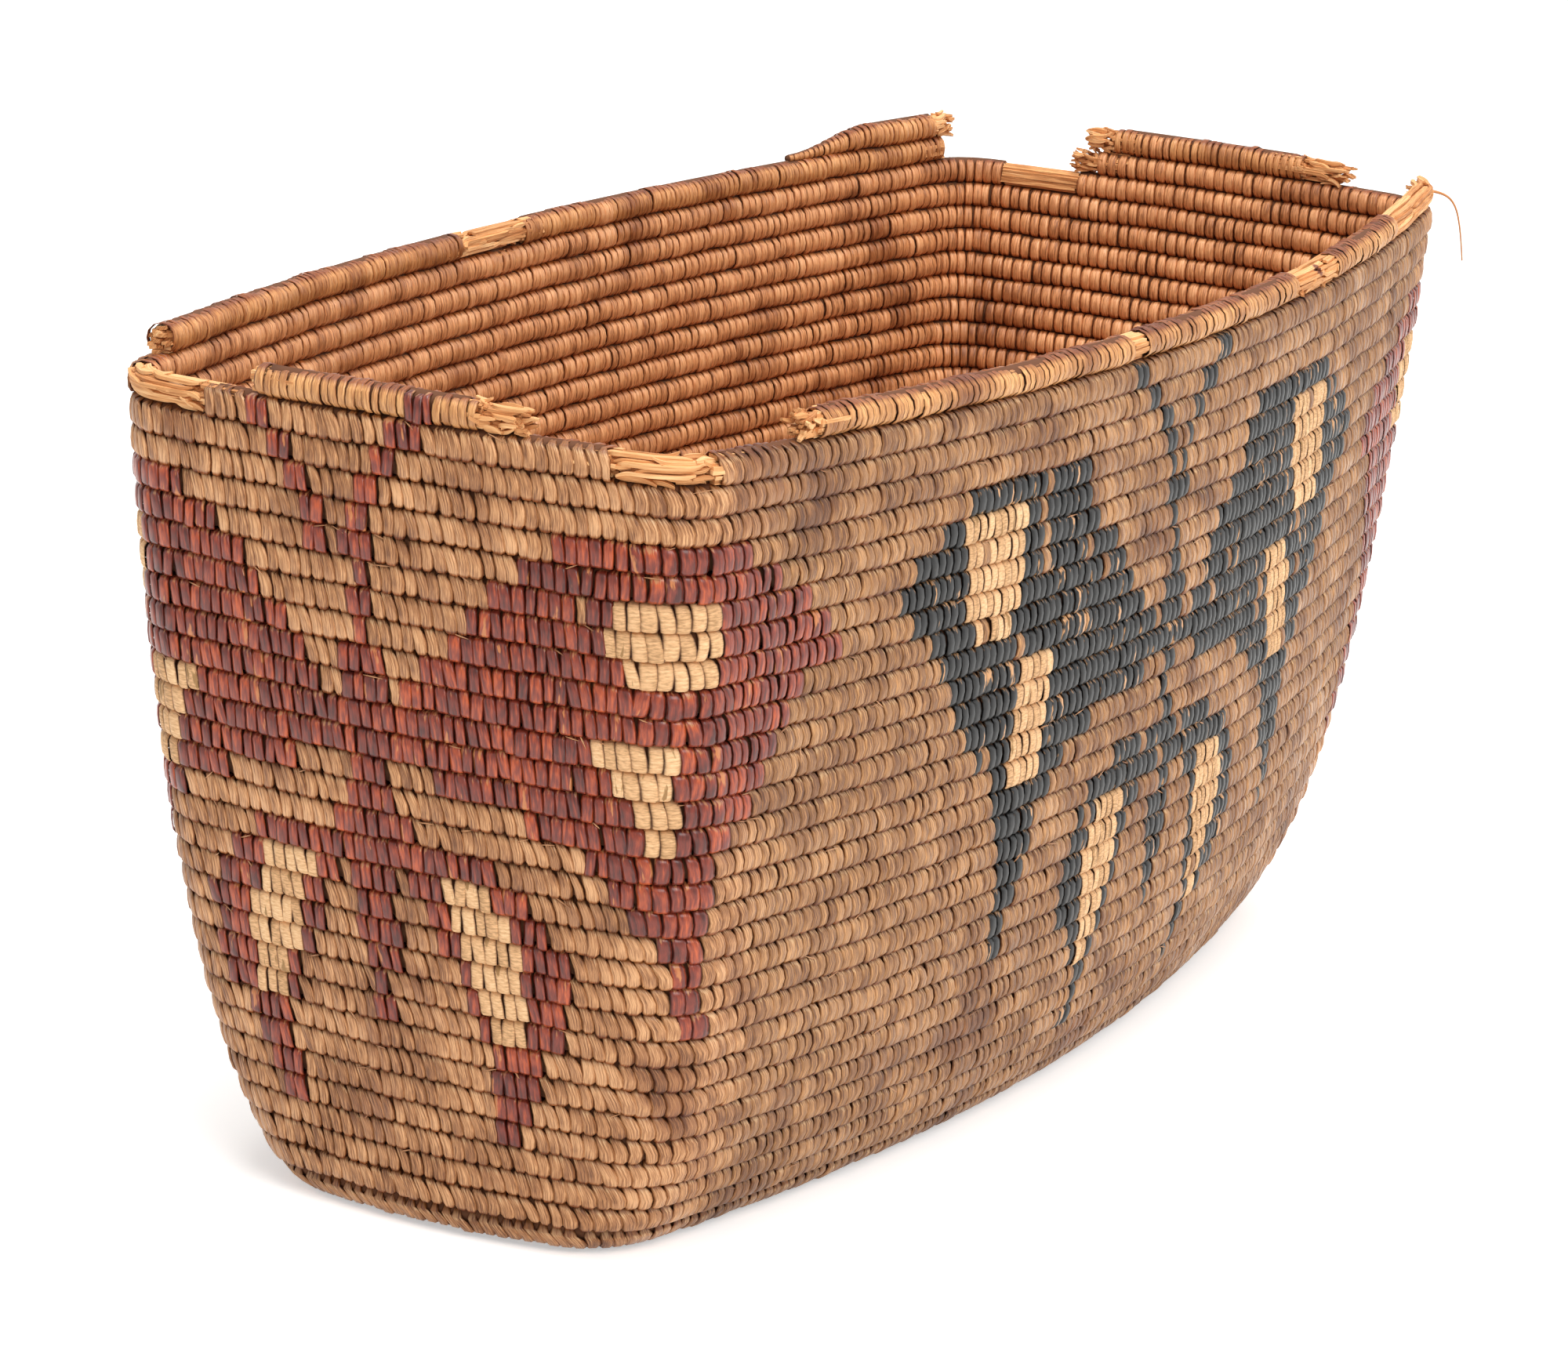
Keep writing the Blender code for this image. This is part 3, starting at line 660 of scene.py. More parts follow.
def sewn_row(turn, start, end, pitch, rim=False, tip=math.inf):
    """A row of stitches along a length of coil, as a mesh with its materials' numbers."""
    table = route(turn, start, end)
    length = table["distance"][-1]
    count = round(length / pitch)
    mesh = straight_row(STITCH, count)
    points = vertex_places(mesh)
    stitch = np.arange(len(points)) // len(STITCH.vertices)
    across = points[:, 0] - stitch
    station = np.rint(np.degrees(np.arctan2(points[:, 2], points[:, 1])) / 30).astype(int)
    station = (station + 3) % STATIONS
    crown = np.clip(np.hypot(points[:, 1], points[:, 2]) - 1, 0, 1)

    chance = np.random.default_rng(round(turn * ROW_SEEDS[0] + start * ROW_SEEDS[1]))
    middle = (np.arange(count) + 0.5) / count * length
    share = along_route(table, "share", middle)
    kind = figure_of(turn - np.floor(share), share % 1)
    side = long_side(share % 1)
    tone, wear, lost, split_most = chance.random((4, count))
    for colour, lost_share in LOST_SHARES.items():
        kind[(kind == colour) & (lost < lost_share)] = PLAIN
    if rim:
        kind = np.where(kind == PLAIN, RIM, kind)
    wear = np.where(wear < WORN_SHARE, wear / WORN_SHARE, 0)
    wide = 1 + STRAND_VARIES_SHARE * chance.standard_normal(count)
    nudge, proud, shifted = JITTER * chance.standard_normal((3, count))
    shifted += wander(turn, share)
    calm = np.where(kind == PLAIN, 1, TILE_LEAN_SHARE)
    lean_share = calm * np.interp(side, (0, 1), LEAN_SHARES)
    lean_share += LEAN_VARIES_SHARE * chance.standard_normal(count)
    bow_share = calm * np.interp(side, (0, 1), BOW_SHARES)

    out = OUT_BY_KIND[kind[stitch], station] + proud[stitch]
    up = UP_BY_KIND[kind[stitch], station] + shifted[stitch]
    width = WIDTH_BY_KIND[kind[stitch], station] * wide[stitch]
    splits = (kind[stitch] == PLAIN) | (station >= FIRST_INNER)
    split = SPLIT_DEPTH[station] * (np.abs(across) < SPLIT_HALF_SHARE) * splits * split_most[stitch]
    sunk = (crown - 1) * CROWN_BY_KIND[kind[stitch], station] - split
    # The split also lowers the crown value, so that the painted shade along a strand's edges runs down the
    # split too.
    crown = crown - split / SPLIT_DEPTH.max()
    facing = np.arctan2(up, out)
    step = length / count
    outer = np.cos(facing) > 0
    bow = bow_share[stitch] * (1 - (up / HALF_COURSE) ** 2)
    slant = np.where(outer, lean_share[stitch] * up / HALF_COURSE + bow, 0)
    along = np.clip(middle[stitch] + nudge[stitch] + (across * width + slant) * step, 0, length)
    tall = along_route(table, "half_rise", along) / HALF_COURSE
    section = thinned(along, out + sunk * np.cos(facing), up * tall + sunk * np.sin(facing), tip)
    mesh.vertices.foreach_set("co", placed(table, along, *section).ravel())

    inner = smooth_step(-out / HALF_COURSE + INNER_FROM_SHARE)
    set_attribute(mesh, "place", (inner, up / HALF_COURSE / 2 + 0.5, crown))
    set_attribute(mesh, "look", (tone[stitch], wear[stitch], side[stitch]))
    by_face = set_strand_map(mesh, station, across * width * step, stitch)
    covers = (by_face.max(axis=1) <= STATIONS / 2) & (by_face.min(axis=1) < STATIONS / 2)
    of_face = kind[stitch[np.array([face.vertices[0] for face in mesh.polygons])]]
    set_finish(mesh, np.where(covers | (of_face == RIM), of_face, PLAIN))
    mesh.shade_smooth()
    return mesh, table


def straight_bar(length, height=0):
    """A closed round bar as thick as the coil's inside, along X at a given height, as a bmesh."""
    shape = bmesh.new()
    ends = {"cap_ends": True, "segments": CORE_SIDES, "radius1": CORE_RADIUS, "radius2": CORE_RADIUS}
    turned = Matrix.Translation((0, 0, height)) @ Matrix.Rotation(math.pi / 2, 4, "Y")
    bmesh.ops.create_cone(shape, **ends, depth=length, matrix=turned)
    return shape


def core_tube(table, inset=0, tip=math.inf):
    """The bundle inside the stitches: a plain tube, painted dark for shade, which shows only in the gaps."""
    length = table["distance"][-1]
    shape = straight_bar(length)
    long_edges = [edge for edge in shape.edges if edge.calc_length() > length / 2]
    bmesh.ops.subdivide_edges(shape, edges=long_edges, cuts=round(length / CORE_STEP))
    mesh = finished_mesh(shape, "core")
    points = vertex_places(mesh)
    along = points[:, 0] * (1 - 2 * inset / length) + length / 2
    tall = CORE_TALL_SHARE * along_route(table, "half_rise", along) / HALF_COURSE
    bent = placed(table, along, *thinned(along, points[:, 1], points[:, 2] * tall, tip))
    mesh.vertices.foreach_set("co", bent.ravel())
    set_finish(mesh, CORE)
    mesh.shade_smooth()
    return mesh


print(f"stitches are {STITCH_PITCH / MM:.2f} mm apart on the wall and {RIM_PITCH / MM:.1f} mm on the rim")

# %% [markdown]
# ## Bare splints
#
# Where the wrap is lost, the bundle shows: flat splints of cedar, stacked in layers, their broken
# ends ragged and a little spread. One splint is a cube cut into short lengths. An array of them is
# bent along the coil as the stitches are, and each gets its own place in the bundle, its own length
# and a pointed end. Cords or bevelled curves would be too round and too even for split wood.

# %% A bundle of splints
BUNDLE_RADIUS = 3.3 * MM
SPLINT_WIDTH = 1.75 * MM
SPLINT_THICKNESS = 1.0 * MM
SPLINT_CUTS = 18
LAYER_SHARES = (-0.82, -0.55, -0.28, 0.0, 0.28, 0.55, 0.82)
RAGGED = 2.5 * MM
END_STRETCH = 3.5 * MM
END_TAPER_SHARE = 0.4
SPREAD = 0.7 * MM
BREAK_SHARES = (0.12, 0.88)
BREAK_GAPS = (-0.5 * MM, 1.5 * MM)
MARGIN_SHARE = 0.008
PLACE_VARIES = 0.14 * MM
RAGGED_SHARES = (-0.7, 1.0)
ROLL_VARIES_DEGREES = 9.0
SPLINT_SIZE_SHARES = (0.8, 1.15)
SWAY = 0.2 * MM
SWAY_LENGTH = 6.0 * MM

# The splints' map across a splint, through it, and from one splint to the next.
ACROSS_MM = 1.75
THROUGH_MM = 0.9
NEXT_SPLINT_MM = 5.3


def splint_places():
    """Where each splint lies in the bundle's round section, outwards and up, in metres."""
    places = []
    for share in LAYER_SHARES:
        half = BUNDLE_RADIUS * math.sqrt(1 - share**2)
        count = round(2 * half / SPLINT_WIDTH)
        places += [(((i + 0.5) / count * 2 - 1) * half, share * BUNDLE_RADIUS) for i in range(count)]
    return np.array(places)


def splint_template():
    """A straight splint of unit size, cut across into short lengths."""
    shape = bmesh.new()
    bmesh.ops.create_cube(shape, size=1)
    lengthways = [edge for edge in shape.edges if abs(edge.verts[0].co.y - edge.verts[1].co.y) > 0.5]
    bmesh.ops.subdivide_edges(shape, edges=lengthways, cuts=SPLINT_CUTS)
    return finished_mesh(shape, "splint_template")


SPLINT = splint_template()


def bundle(turn, start, end, ragged, frayed, seed):
    """A bundle of flat splints along a length of coil: frayed is 1 where they are broken, 0 where cut."""
    table = route(turn, start - MARGIN_SHARE, end + MARGIN_SHARE)
    first, last = np.interp([start, end], table["share"], table["distance"])
    layers = np.repeat(splint_places(), 1 + frayed, axis=0)
    mesh = straight_row(SPLINT, len(layers))
    points = vertex_places(mesh)
    number = np.arange(len(points)) // len(SPLINT.vertices)
    wide, part, thick = points[:, 0] - number, points[:, 1] + 0.5, points[:, 2]

    chance = np.random.default_rng(seed)
    place = layers + chance.normal(0, PLACE_VARIES, layers.shape)
    begin = first - ragged * chance.uniform(*RAGGED_SHARES, len(layers))
    finish = last + ragged * chance.uniform(*RAGGED_SHARES, len(layers))
    if frayed:
        broken = first + (last - first) * chance.uniform(*BREAK_SHARES, len(layers) // 2)
        gap = chance.uniform(*BREAK_GAPS, len(layers) // 2)
        finish[::2], begin[1::2] = broken - gap / 2, broken + gap / 2
    roll = np.radians(chance.normal(0, ROLL_VARIES_DEGREES, len(layers)))
    size = chance.uniform(*SPLINT_SIZE_SHARES, (2, len(layers)))
    spread = SPREAD * chance.normal(0, 1, (2, 2, len(layers)))
    wave = chance.uniform(0, math.tau, len(layers))

    along = begin[number] + part * (finish - begin)[number]
    along = np.clip(along, 0, table["distance"][-1])
    to_end = np.minimum(along - begin[number], finish[number] - along)
    loose = (1 - np.clip(to_end / END_STRETCH, 0, 1)) ** 2 * frayed
    at_end = (part > 0.5).astype(int)
    taper = 1 - END_TAPER_SHARE * frayed * (1 - np.clip(to_end / (END_STRETCH / 2), 0, 1))
    across = wide * SPLINT_WIDTH * size[0][number] * taper
    deep = thick * SPLINT_THICKNESS * size[1][number] * taper
    sway = SWAY * np.sin(along / SWAY_LENGTH + wave[number])
    out = place[number, 0] + across * np.cos(roll[number]) - deep * np.sin(roll[number]) + sway
    up = place[number, 1] + across * np.sin(roll[number]) + deep * np.cos(roll[number])
    out = out + spread[0, at_end, number] * loose
    up = up + spread[1, at_end, number] * loose
    mesh.vertices.foreach_set("co", placed(table, along, out, up).ravel())

    tone = chance.random(len(layers))[number]
    set_attribute(mesh, "look", (tone, loose, np.zeros(len(points))))
    corners = corner_vertices(mesh)
    u = wide * ACROSS_MM + thick * THROUGH_MM + number * NEXT_SPLINT_MM
    set_map(mesh, u[corners], along[corners] / MM)
    set_finish(mesh, BARE)
    return mesh


print(f"a bundle has {len(splint_places())} splints")

# %% [markdown]
# ## Materials
#
# Every finish is split or dyed plant stuff, so none is one colour: each strand has its own tone, and
# a grain that runs along it. The grain reads the strand's map in millimetres, and stains and handling
# marks read Object coordinates, because they cross from stitch to stitch. Colours are written as
# sRGB hex values and turned linear by one function. One more function adds a node.

# %% Adding nodes


def linear(code):
    """An sRGB hex colour as the linear values that a shader takes."""
    parts = [int(code[i : i + 2], 16) / 255 for i in (1, 3, 5)]
    return (*[part / 12.92 if part <= 0.04045 else ((part + 0.055) / 1.055) ** 2.4 for part in parts], 1)


def add(tree, kind, sockets=(), stops=(), **settings):
    """A node with its settings. A socket given as a value is linked, and any other value is set."""
    made = tree.nodes.new("ShaderNode" + kind)
    for name, value in settings.items():
        setattr(made, name, value)
    for name, value in dict(sockets).items():
        if isinstance(value, bpy.types.NodeSocket):
            tree.links.new(value, made.inputs[name])
        else:
            made.inputs[name].default_value = value
    for i, (place, code) in enumerate(stops):
        point = made.color_ramp.elements[i] if i < 2 else made.color_ramp.elements.new(place)
        point.position = place
        point.color = linear(code)
    return made


def new_finish(name, roughness):
    """A material with its tree, its shader and the numbers that the strands carry."""
    made = bpy.data.materials.new(name)
    made.use_nodes = True
    tree = made.node_tree
    shader = tree.nodes["Principled BSDF"]
    shader.inputs["Roughness"].default_value = roughness
    look = add(tree, "Attribute", attribute_name="look").outputs["Vector"]
    place = add(tree, "Attribute", attribute_name="place").outputs["Vector"]
    look = add(tree, "SeparateXYZ", {0: look}).outputs
    place = add(tree, "SeparateXYZ", {0: place}).outputs
    strand = add(tree, "UVMap", uv_map="strand").outputs[0]
    body = add(tree, "TexCoord").outputs["Object"]
    return made, tree, shader, look, place, strand, body


print("half of full blue, #000080, is", round(linear("#000080")[2], 3), "in linear light")

# %% [markdown]
# ## Split cedar root
#
# The sewing strand is the outer part of a cedar root, split and scraped smooth. It is tan with a
# fine lengthwise grain about half a millimetre wide. Handling has left grey-brown stains and glossy
# gold patches. The long sides are more orange, and the inner face is darker, redder and shinier.

# %% Finish of the sewn root
GRAIN_PER_MM = (2.6, 0.2, 1.0)
STAIN_PER_METRE = 40.0
PATCH_PER_METRE = 75.0
PATCH_WEIGHT = 0.6
GRAIN_WEIGHT = 1.4
STAIN_RANGE = (0.52, 0.7)
STAIN_SHARE = 0.75
STAIN_COLOUR = "#A48058"
GLOSS_RANGE = (0.45, 0.65)
FRAY_RANGE = (1.36, 1.48)
FRAY_COLOUR = "#D8B88C"
ROOT_TONE_STOPS = (0.2, 0.8, 0.5)
# Painted shade: darker along each strand's edges and its split, where the stitches meet.
PAINTED_CREVICE_SHADE_STOPS = ((0.0, "#A06C44"), (0.4, "#FFFFFF"))
# Painted shade: darker at the top and bottom of each stitch, in the grooves between courses.
PAINTED_GROOVE_SHADE_STOPS = ((0.0, "#B88E68"), (0.12, "#FFFFFF"), (0.86, "#FFFFFF"), (1.0, "#B08860"))
ROOT_RELIEF = 0.25 * MM


def root_finish(name, ends, sides, within, roughness, polish, contrast, fray):
    """Split root: a dark, a light and a middle tone each for the short ends, long sides and inner face."""
    made, tree, shader, look, place, strand, body = new_finish(name, roughness)
    lines = add(tree, "Mapping", {"Vector": strand, "Scale": GRAIN_PER_MM}).outputs[0]
    fine = {"Vector": lines, "Scale": 1.0, "Detail": 5.0, "Roughness": 0.6}
    grain = add(tree, "TexNoise", fine, noise_dimensions="2D").outputs[0]
    stains = add(tree, "TexNoise", {"Vector": body, "Scale": STAIN_PER_METRE, "Detail": 4.0}).outputs[0]
    patches = add(tree, "TexNoise", {"Vector": body, "Scale": PATCH_PER_METRE, "Detail": 2.0}).outputs[0]
    from_mean = {0: look[0], 1: contrast, 2: -0.5 - contrast / 2}
    tone = add(tree, "Math", from_mean, operation="MULTIPLY_ADD").outputs[0]
    tone = add(tree, "Math", {0: patches, 1: PATCH_WEIGHT, 2: tone}, operation="MULTIPLY_ADD").outputs[0]
    shade = add(tree, "Math", {0: grain, 1: GRAIN_WEIGHT, 2: tone}, operation="MULTIPLY_ADD").outputs[0]
    three = [add(tree, "ValToRGB", {0: shade}, stops=zip(ROOT_TONE_STOPS, tones)).outputs[0]
             for tones in (ends, sides, within)]
    outer = add(tree, "Mix", {0: look[2], 6: three[0], 7: three[1]}, data_type="RGBA").outputs[2]
    raised = add(tree, "Math", {0: place[1], 1: place[0]}, operation="SUBTRACT").outputs[0]
    raised = add(tree, "Math", {0: raised, 1: grain}).outputs[0]
    frayed = {"Value": raised, "From Min": FRAY_RANGE[0], "From Max": FRAY_RANGE[1], "To Max": fray}
    frayed = add(tree, "MapRange", frayed).outputs[0]
    outer = add(tree, "Mix", {0: frayed, 6: outer, 7: linear(FRAY_COLOUR)}, data_type="RGBA").outputs[2]
    whole = add(tree, "Mix", {0: place[0], 6: outer, 7: three[2]}, data_type="RGBA").outputs[2]
    dirty = {"Value": stains, "From Min": STAIN_RANGE[0], "From Max": STAIN_RANGE[1], "To Max": STAIN_SHARE}
    stained = add(tree, "MapRange", dirty).outputs[0]
    marked = {0: stained, 6: whole, 7: linear(STAIN_COLOUR)}
    whole = add(tree, "Mix", marked, data_type="RGBA", blend_type="MULTIPLY").outputs[2]
    # Painted shade, multiplied in: darker along each strand's edges and split, and in the grooves between
    # courses.
    for height, stops in ((place[2], PAINTED_CREVICE_SHADE_STOPS), (place[1], PAINTED_GROOVE_SHADE_STOPS)):
        dark = add(tree, "ValToRGB", {0: height}, stops=stops).outputs[0]
        edged = {0: 1.0, 6: whole, 7: dark}
        whole = add(tree, "Mix", edged, data_type="RGBA", blend_type="MULTIPLY").outputs[2]
    tree.links.new(whole, shader.inputs["Base Color"])
    gloss = {"Value": patches, "From Min": GLOSS_RANGE[0], "From Max": GLOSS_RANGE[1]}
    gloss = add(tree, "MapRange", {**gloss, "To Min": roughness, "To Max": polish}).outputs[0]
    tree.links.new(gloss, shader.inputs["Roughness"])
    relief = add(tree, "Bump", {"Height": grain, "Strength": 0.5, "Distance": ROOT_RELIEF}).outputs[0]
    tree.links.new(relief, shader.inputs["Normal"])
    return made


ROOT = root_finish(
    "split cedar root, scraped and sewn",
    ends=("#72431F", "#E6AF7C", "#B67E50"),
    sides=("#663C20", "#CE9762", "#9C6C40"),
    within=("#985E36", "#F6B882", "#DA945E"),
    roughness=0.5,
    polish=0.32,
    contrast=0.2,
    fray=0.6,
)
RIM_ROOT = root_finish(
    "split cedar root, close wrapped",
    ends=("#925A30", "#EAB072", "#C48852"),
    sides=("#965C30", "#F0B676", "#CA8C52"),
    within=("#96582E", "#EAAC70", "#CC8A52"),
    roughness=0.5,
    polish=0.36,
    contrast=0.12,
    fray=0.0,
)
print("two finishes of root")

# %% [markdown]
# ## Bark, dyed bark and grass
#
# Imbricated strips are folded over each stitch, so they lie flat and face out. Cherry bark is peeled
# thin, and is a glossy maroon that wears to orange at the edges. The same bark steeped with iron is
# blue-black, and rubs off to pale root. The cream strips are split grass, laid with its grain across.

# %% Finish of the imbricated strips
WEAR_PER_MM = (0.55, 0.13, 1.0)
WEAR_WEIGHT = 0.3
WEAR_STEP = 0.06
STRIP_TONE_VARIES = 0.32
STRIP_TONE_STOPS = (0.2, 0.85, 0.52)
SCUFF_RANGE = (1.45, 1.55)
SCUFF_SHARE = 0.7
SCUFF_COLOUR = "#B98A5E"
# Painted shade for the strips: darker towards each strip's sides, where it meets the next one.
PAINTED_STRIP_SHADE_STOPS = ((0.0, "#7C5A46"), (0.4, "#FFFFFF"))


def strip_finish(name, tones, grain_per_mm, roughness, relief_depth, worn_from, worn_to):
    """A folded strip: three tones, with painted shade at its sides, and worn to another colour in places."""
    made, tree, shader, look, place, strand, _ = new_finish(name, roughness)
    lines = add(tree, "Mapping", {"Vector": strand, "Scale": grain_per_mm}).outputs[0]
    fine = {"Vector": lines, "Scale": 1.0, "Detail": 3.0}
    grain = add(tree, "TexNoise", fine, noise_dimensions="2D").outputs[0]
    rubs = add(tree, "Mapping", {"Vector": strand, "Scale": WEAR_PER_MM}).outputs[0]
    coarse = {"Vector": rubs, "Scale": 1.0, "Detail": 3.0}
    blots = add(tree, "TexNoise", coarse, noise_dimensions="2D").outputs[0]
    from_mean = {0: look[0], 1: STRIP_TONE_VARIES, 2: -STRIP_TONE_VARIES / 2}
    tone = add(tree, "Math", from_mean, operation="MULTIPLY_ADD").outputs[0]
    shade = add(tree, "Math", {0: grain, 1: 1.0, 2: tone}, operation="MULTIPLY_ADD").outputs[0]
    whole = add(tree, "ValToRGB", {0: shade}, stops=zip(STRIP_TONE_STOPS, tones)).outputs[0]
    wear = add(tree, "Math", {0: look[1], 1: WEAR_WEIGHT, 2: blots}, operation="MULTIPLY_ADD").outputs[0]
    worn = {"Value": wear, "From Min": worn_from, "From Max": worn_from + WEAR_STEP}
    worn = add(tree, "MapRange", worn).outputs[0]
    whole = add(tree, "Mix", {0: worn, 6: whole, 7: linear(worn_to)}, data_type="RGBA").outputs[2]
    scuffed = add(tree, "Math", {0: place[1], 1: grain}).outputs[0]
    scuffed = {"Value": scuffed, "From Min": SCUFF_RANGE[0], "From Max": SCUFF_RANGE[1]}
    scuffed = add(tree, "MapRange", {**scuffed, "To Max": SCUFF_SHARE}).outputs[0]
    whole = add(tree, "Mix", {0: scuffed, 6: whole, 7: linear(SCUFF_COLOUR)}, data_type="RGBA").outputs[2]
    # Painted shade, multiplied in: darker towards the sides of the strip.
    strip_shade = add(tree, "ValToRGB", {0: place[2]}, stops=PAINTED_STRIP_SHADE_STOPS).outputs[0]
    edged = {0: 1.0, 6: whole, 7: strip_shade}
    whole = add(tree, "Mix", edged, data_type="RGBA", blend_type="MULTIPLY").outputs[2]
    tree.links.new(whole, shader.inputs["Base Color"])
    relief = add(tree, "Bump", {"Height": grain, "Strength": 0.5, "Distance": relief_depth}).outputs[0]
    tree.links.new(relief, shader.inputs["Normal"])
    return made


RED_BARK = strip_finish(
    "cherry bark, peeled and folded",
    tones=("#4C1C15", "#C65B30", "#823322"),
    grain_per_mm=(1.3, 0.25, 1.0),
    roughness=0.3,
    relief_depth=0.12 * MM,
    worn_from=0.85,
    worn_to="#C47A48",
)
BLACK_BARK = strip_finish(
    "cherry bark, dyed with iron",
    tones=("#070706", "#22201E", "#110F0E"),
    grain_per_mm=(1.6, 0.25, 1.0),
    roughness=0.42,
    relief_depth=0.12 * MM,
    worn_from=0.84,
    worn_to="#D09A68",
)
CREAM_GRASS = strip_finish(
    "split grass, bleached",
    tones=("#B4885A", "#F6CF9E", "#E3B280"),
    grain_per_mm=(0.6, 2.4, 1.0),
    roughness=0.65,
    relief_depth=0.25 * MM,
    worn_from=0.82,
    worn_to="#A07848",
)
print("three finishes of folded strip")

# %% [markdown]
# ## Cedar splints
#
# The bundle inside the coil is cedar wood, split into flat splints and never scraped smooth. Its
# grain is straight and rough, and each splint has a tone of its own: gold where it lies bare, and
# painted brown for the shade where it lies under the sewing. One small reddish knot shows at the
# front break. It is a spot round one point, read by distance, because a repeating pattern would make more of
# them.

# %% Finish of the splints
SPLINT_GRAIN_PER_MM = (3.0, 0.12, 1.0)
SPLINT_TONE_VARIES = 0.45
SPLINT_TONE_SHIFT = -0.22
SPLINT_TONE_STOPS = (0.15, 0.85, 0.5)
SPLINT_RELIEF = 0.3 * MM
KNOT_TURN_SHARE = (0, 0.2545)
KNOT_OUT = 3.2 * MM
KNOT_RADII = (1.6 * MM, 2.4 * MM)
KNOT_COLOUR = "#6E3020"
KNOT_DEPTH = 0.9


def knot_place():
    """The outer top of the bundle at the knot."""
    turn, share = KNOT_TURN_SHARE
    where = np.array([float(share)]), np.array([turn - share + 1 / 2])
    out, up, _, _ = directions(*where)
    return Vector((wall_points(*where) + (out + up) * KNOT_OUT * math.sqrt(1 / 2))[0])


def splint_finish(name, tones, roughness):
    """Split cedar wood: straight grain, a tone for each splint, and one small knot."""
    made, tree, shader, look, _, strand, body = new_finish(name, roughness)
    lines = add(tree, "Mapping", {"Vector": strand, "Scale": SPLINT_GRAIN_PER_MM}).outputs[0]
    fine = {"Vector": lines, "Scale": 1.0, "Detail": 4.0}
    grain = add(tree, "TexNoise", fine, noise_dimensions="2D").outputs[0]
    from_mean = {0: look[0], 1: SPLINT_TONE_VARIES, 2: SPLINT_TONE_SHIFT}
    tone = add(tree, "Math", from_mean, operation="MULTIPLY_ADD").outputs[0]
    shade = add(tree, "Math", {0: grain, 1: 1.0, 2: tone}, operation="MULTIPLY_ADD").outputs[0]
    whole = add(tree, "ValToRGB", {0: shade}, stops=zip(SPLINT_TONE_STOPS, tones)).outputs[0]
    away = add(tree, "VectorMath", {0: body, 1: knot_place()}, operation="DISTANCE").outputs["Value"]
    knot = {"Value": away, "From Min": KNOT_RADII[1], "From Max": KNOT_RADII[0], "To Max": KNOT_DEPTH}
    knot = add(tree, "MapRange", knot).outputs[0]
    whole = add(tree, "Mix", {0: knot, 6: whole, 7: linear(KNOT_COLOUR)}, data_type="RGBA").outputs[2]
    tree.links.new(whole, shader.inputs["Base Color"])
    relief = add(tree, "Bump", {"Height": grain, "Strength": 0.7, "Distance": SPLINT_RELIEF}).outputs[0]
    tree.links.new(relief, shader.inputs["Normal"])
    return made


# A darker copy of the splint finish: painted shade for the bundle inside the coil, which shows only in the
# gaps.
CORE_WOOD_PAINTED_SHADE = splint_finish(
    "cedar splints, painted dark for the shade under the sewing",
    tones=("#5C351B", "#8E5A34", "#70452A"),
    roughness=0.9,
)
BARE_WOOD = splint_finish(
    "cedar splints, split and bare",
    tones=("#AC6A36", "#FBCA90", "#E0A064"),
    roughness=0.7,
)
FINISHES = (ROOT, RED_BARK, BLACK_BARK, CREAM_GRASS, RIM_ROOT, CORE_WOOD_PAINTED_SHADE, BARE_WOOD)
print(f"{len(FINISHES)} finishes")

# %% [markdown]
# ## Dressing the wall
#
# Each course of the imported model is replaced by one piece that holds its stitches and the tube
# inside them, with one material slot for each finish. Unused slots are left in place, so that every
# piece counts its slots alike. In two short spots the wrap is lost and the splints show. The middle
# of the base holds the straight start of the coil, a plain bar that the first round encloses.

# %% Wall courses and base
WRAP_OVERHANG = 2.0 * MM
START_OVERRUN = 1.6 * COURSE_RISE
BARE_SPOT_SHARES = {"sewn_course_30": (1.467, 1.487), "wrapped_rim_coil_front": (0.150, 0.1565)}
BARE_SPOT_SEED = 180


def dress(name, meshes, slot, *nodes):
    """One piece made of several meshes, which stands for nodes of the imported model."""
    shape = bmesh.new()
    for mesh in meshes:
        shape.from_mesh(mesh)
    whole = finished_mesh(shape, name)
    for finish in FINISHES:
        whole.materials.append(finish)
    piece = bpy.data.objects.new(name, whole)
    bpy.context.scene.collection.objects.link(piece)
    for mesh in meshes:
        bpy.data.meshes.remove(mesh)
    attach(piece, "root")
    if nodes:
        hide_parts(*nodes)


def sewn_length(name, turn, start, end, pitch, rim=False, inset=0, tip=math.inf):
    """The meshes of a sewn length: stitches over a tube in painted shade, and splints where it has a bare
    spot.
    """
    spot = BARE_SPOT_SHARES.get(name)
    arcs = [(start, spot[0]), (spot[1], end)] if spot else [(start, end)]
    meshes = [bundle(turn, *spot, WRAP_OVERHANG, frayed=0, seed=BARE_SPOT_SEED)] if spot else []
    for arc in arcs:
        row, table = sewn_row(turn, *arc, pitch, rim, tip)
        meshes += [row, core_tube(table, inset, tip)]
    return meshes


def straight_start():
    """The straight beginning of the coil, in the middle of the base, which the first round encloses."""
    reach, rise = (np.interp(CORE_LEVEL, PROFILE["level"], PROFILE[name]) for name in ("length", "height"))
    mesh = finished_mesh(straight_bar(2 * reach + START_OVERRUN, rise), "start")
    set_finish(mesh, CORE)
    mesh.shade_smooth()
    return mesh


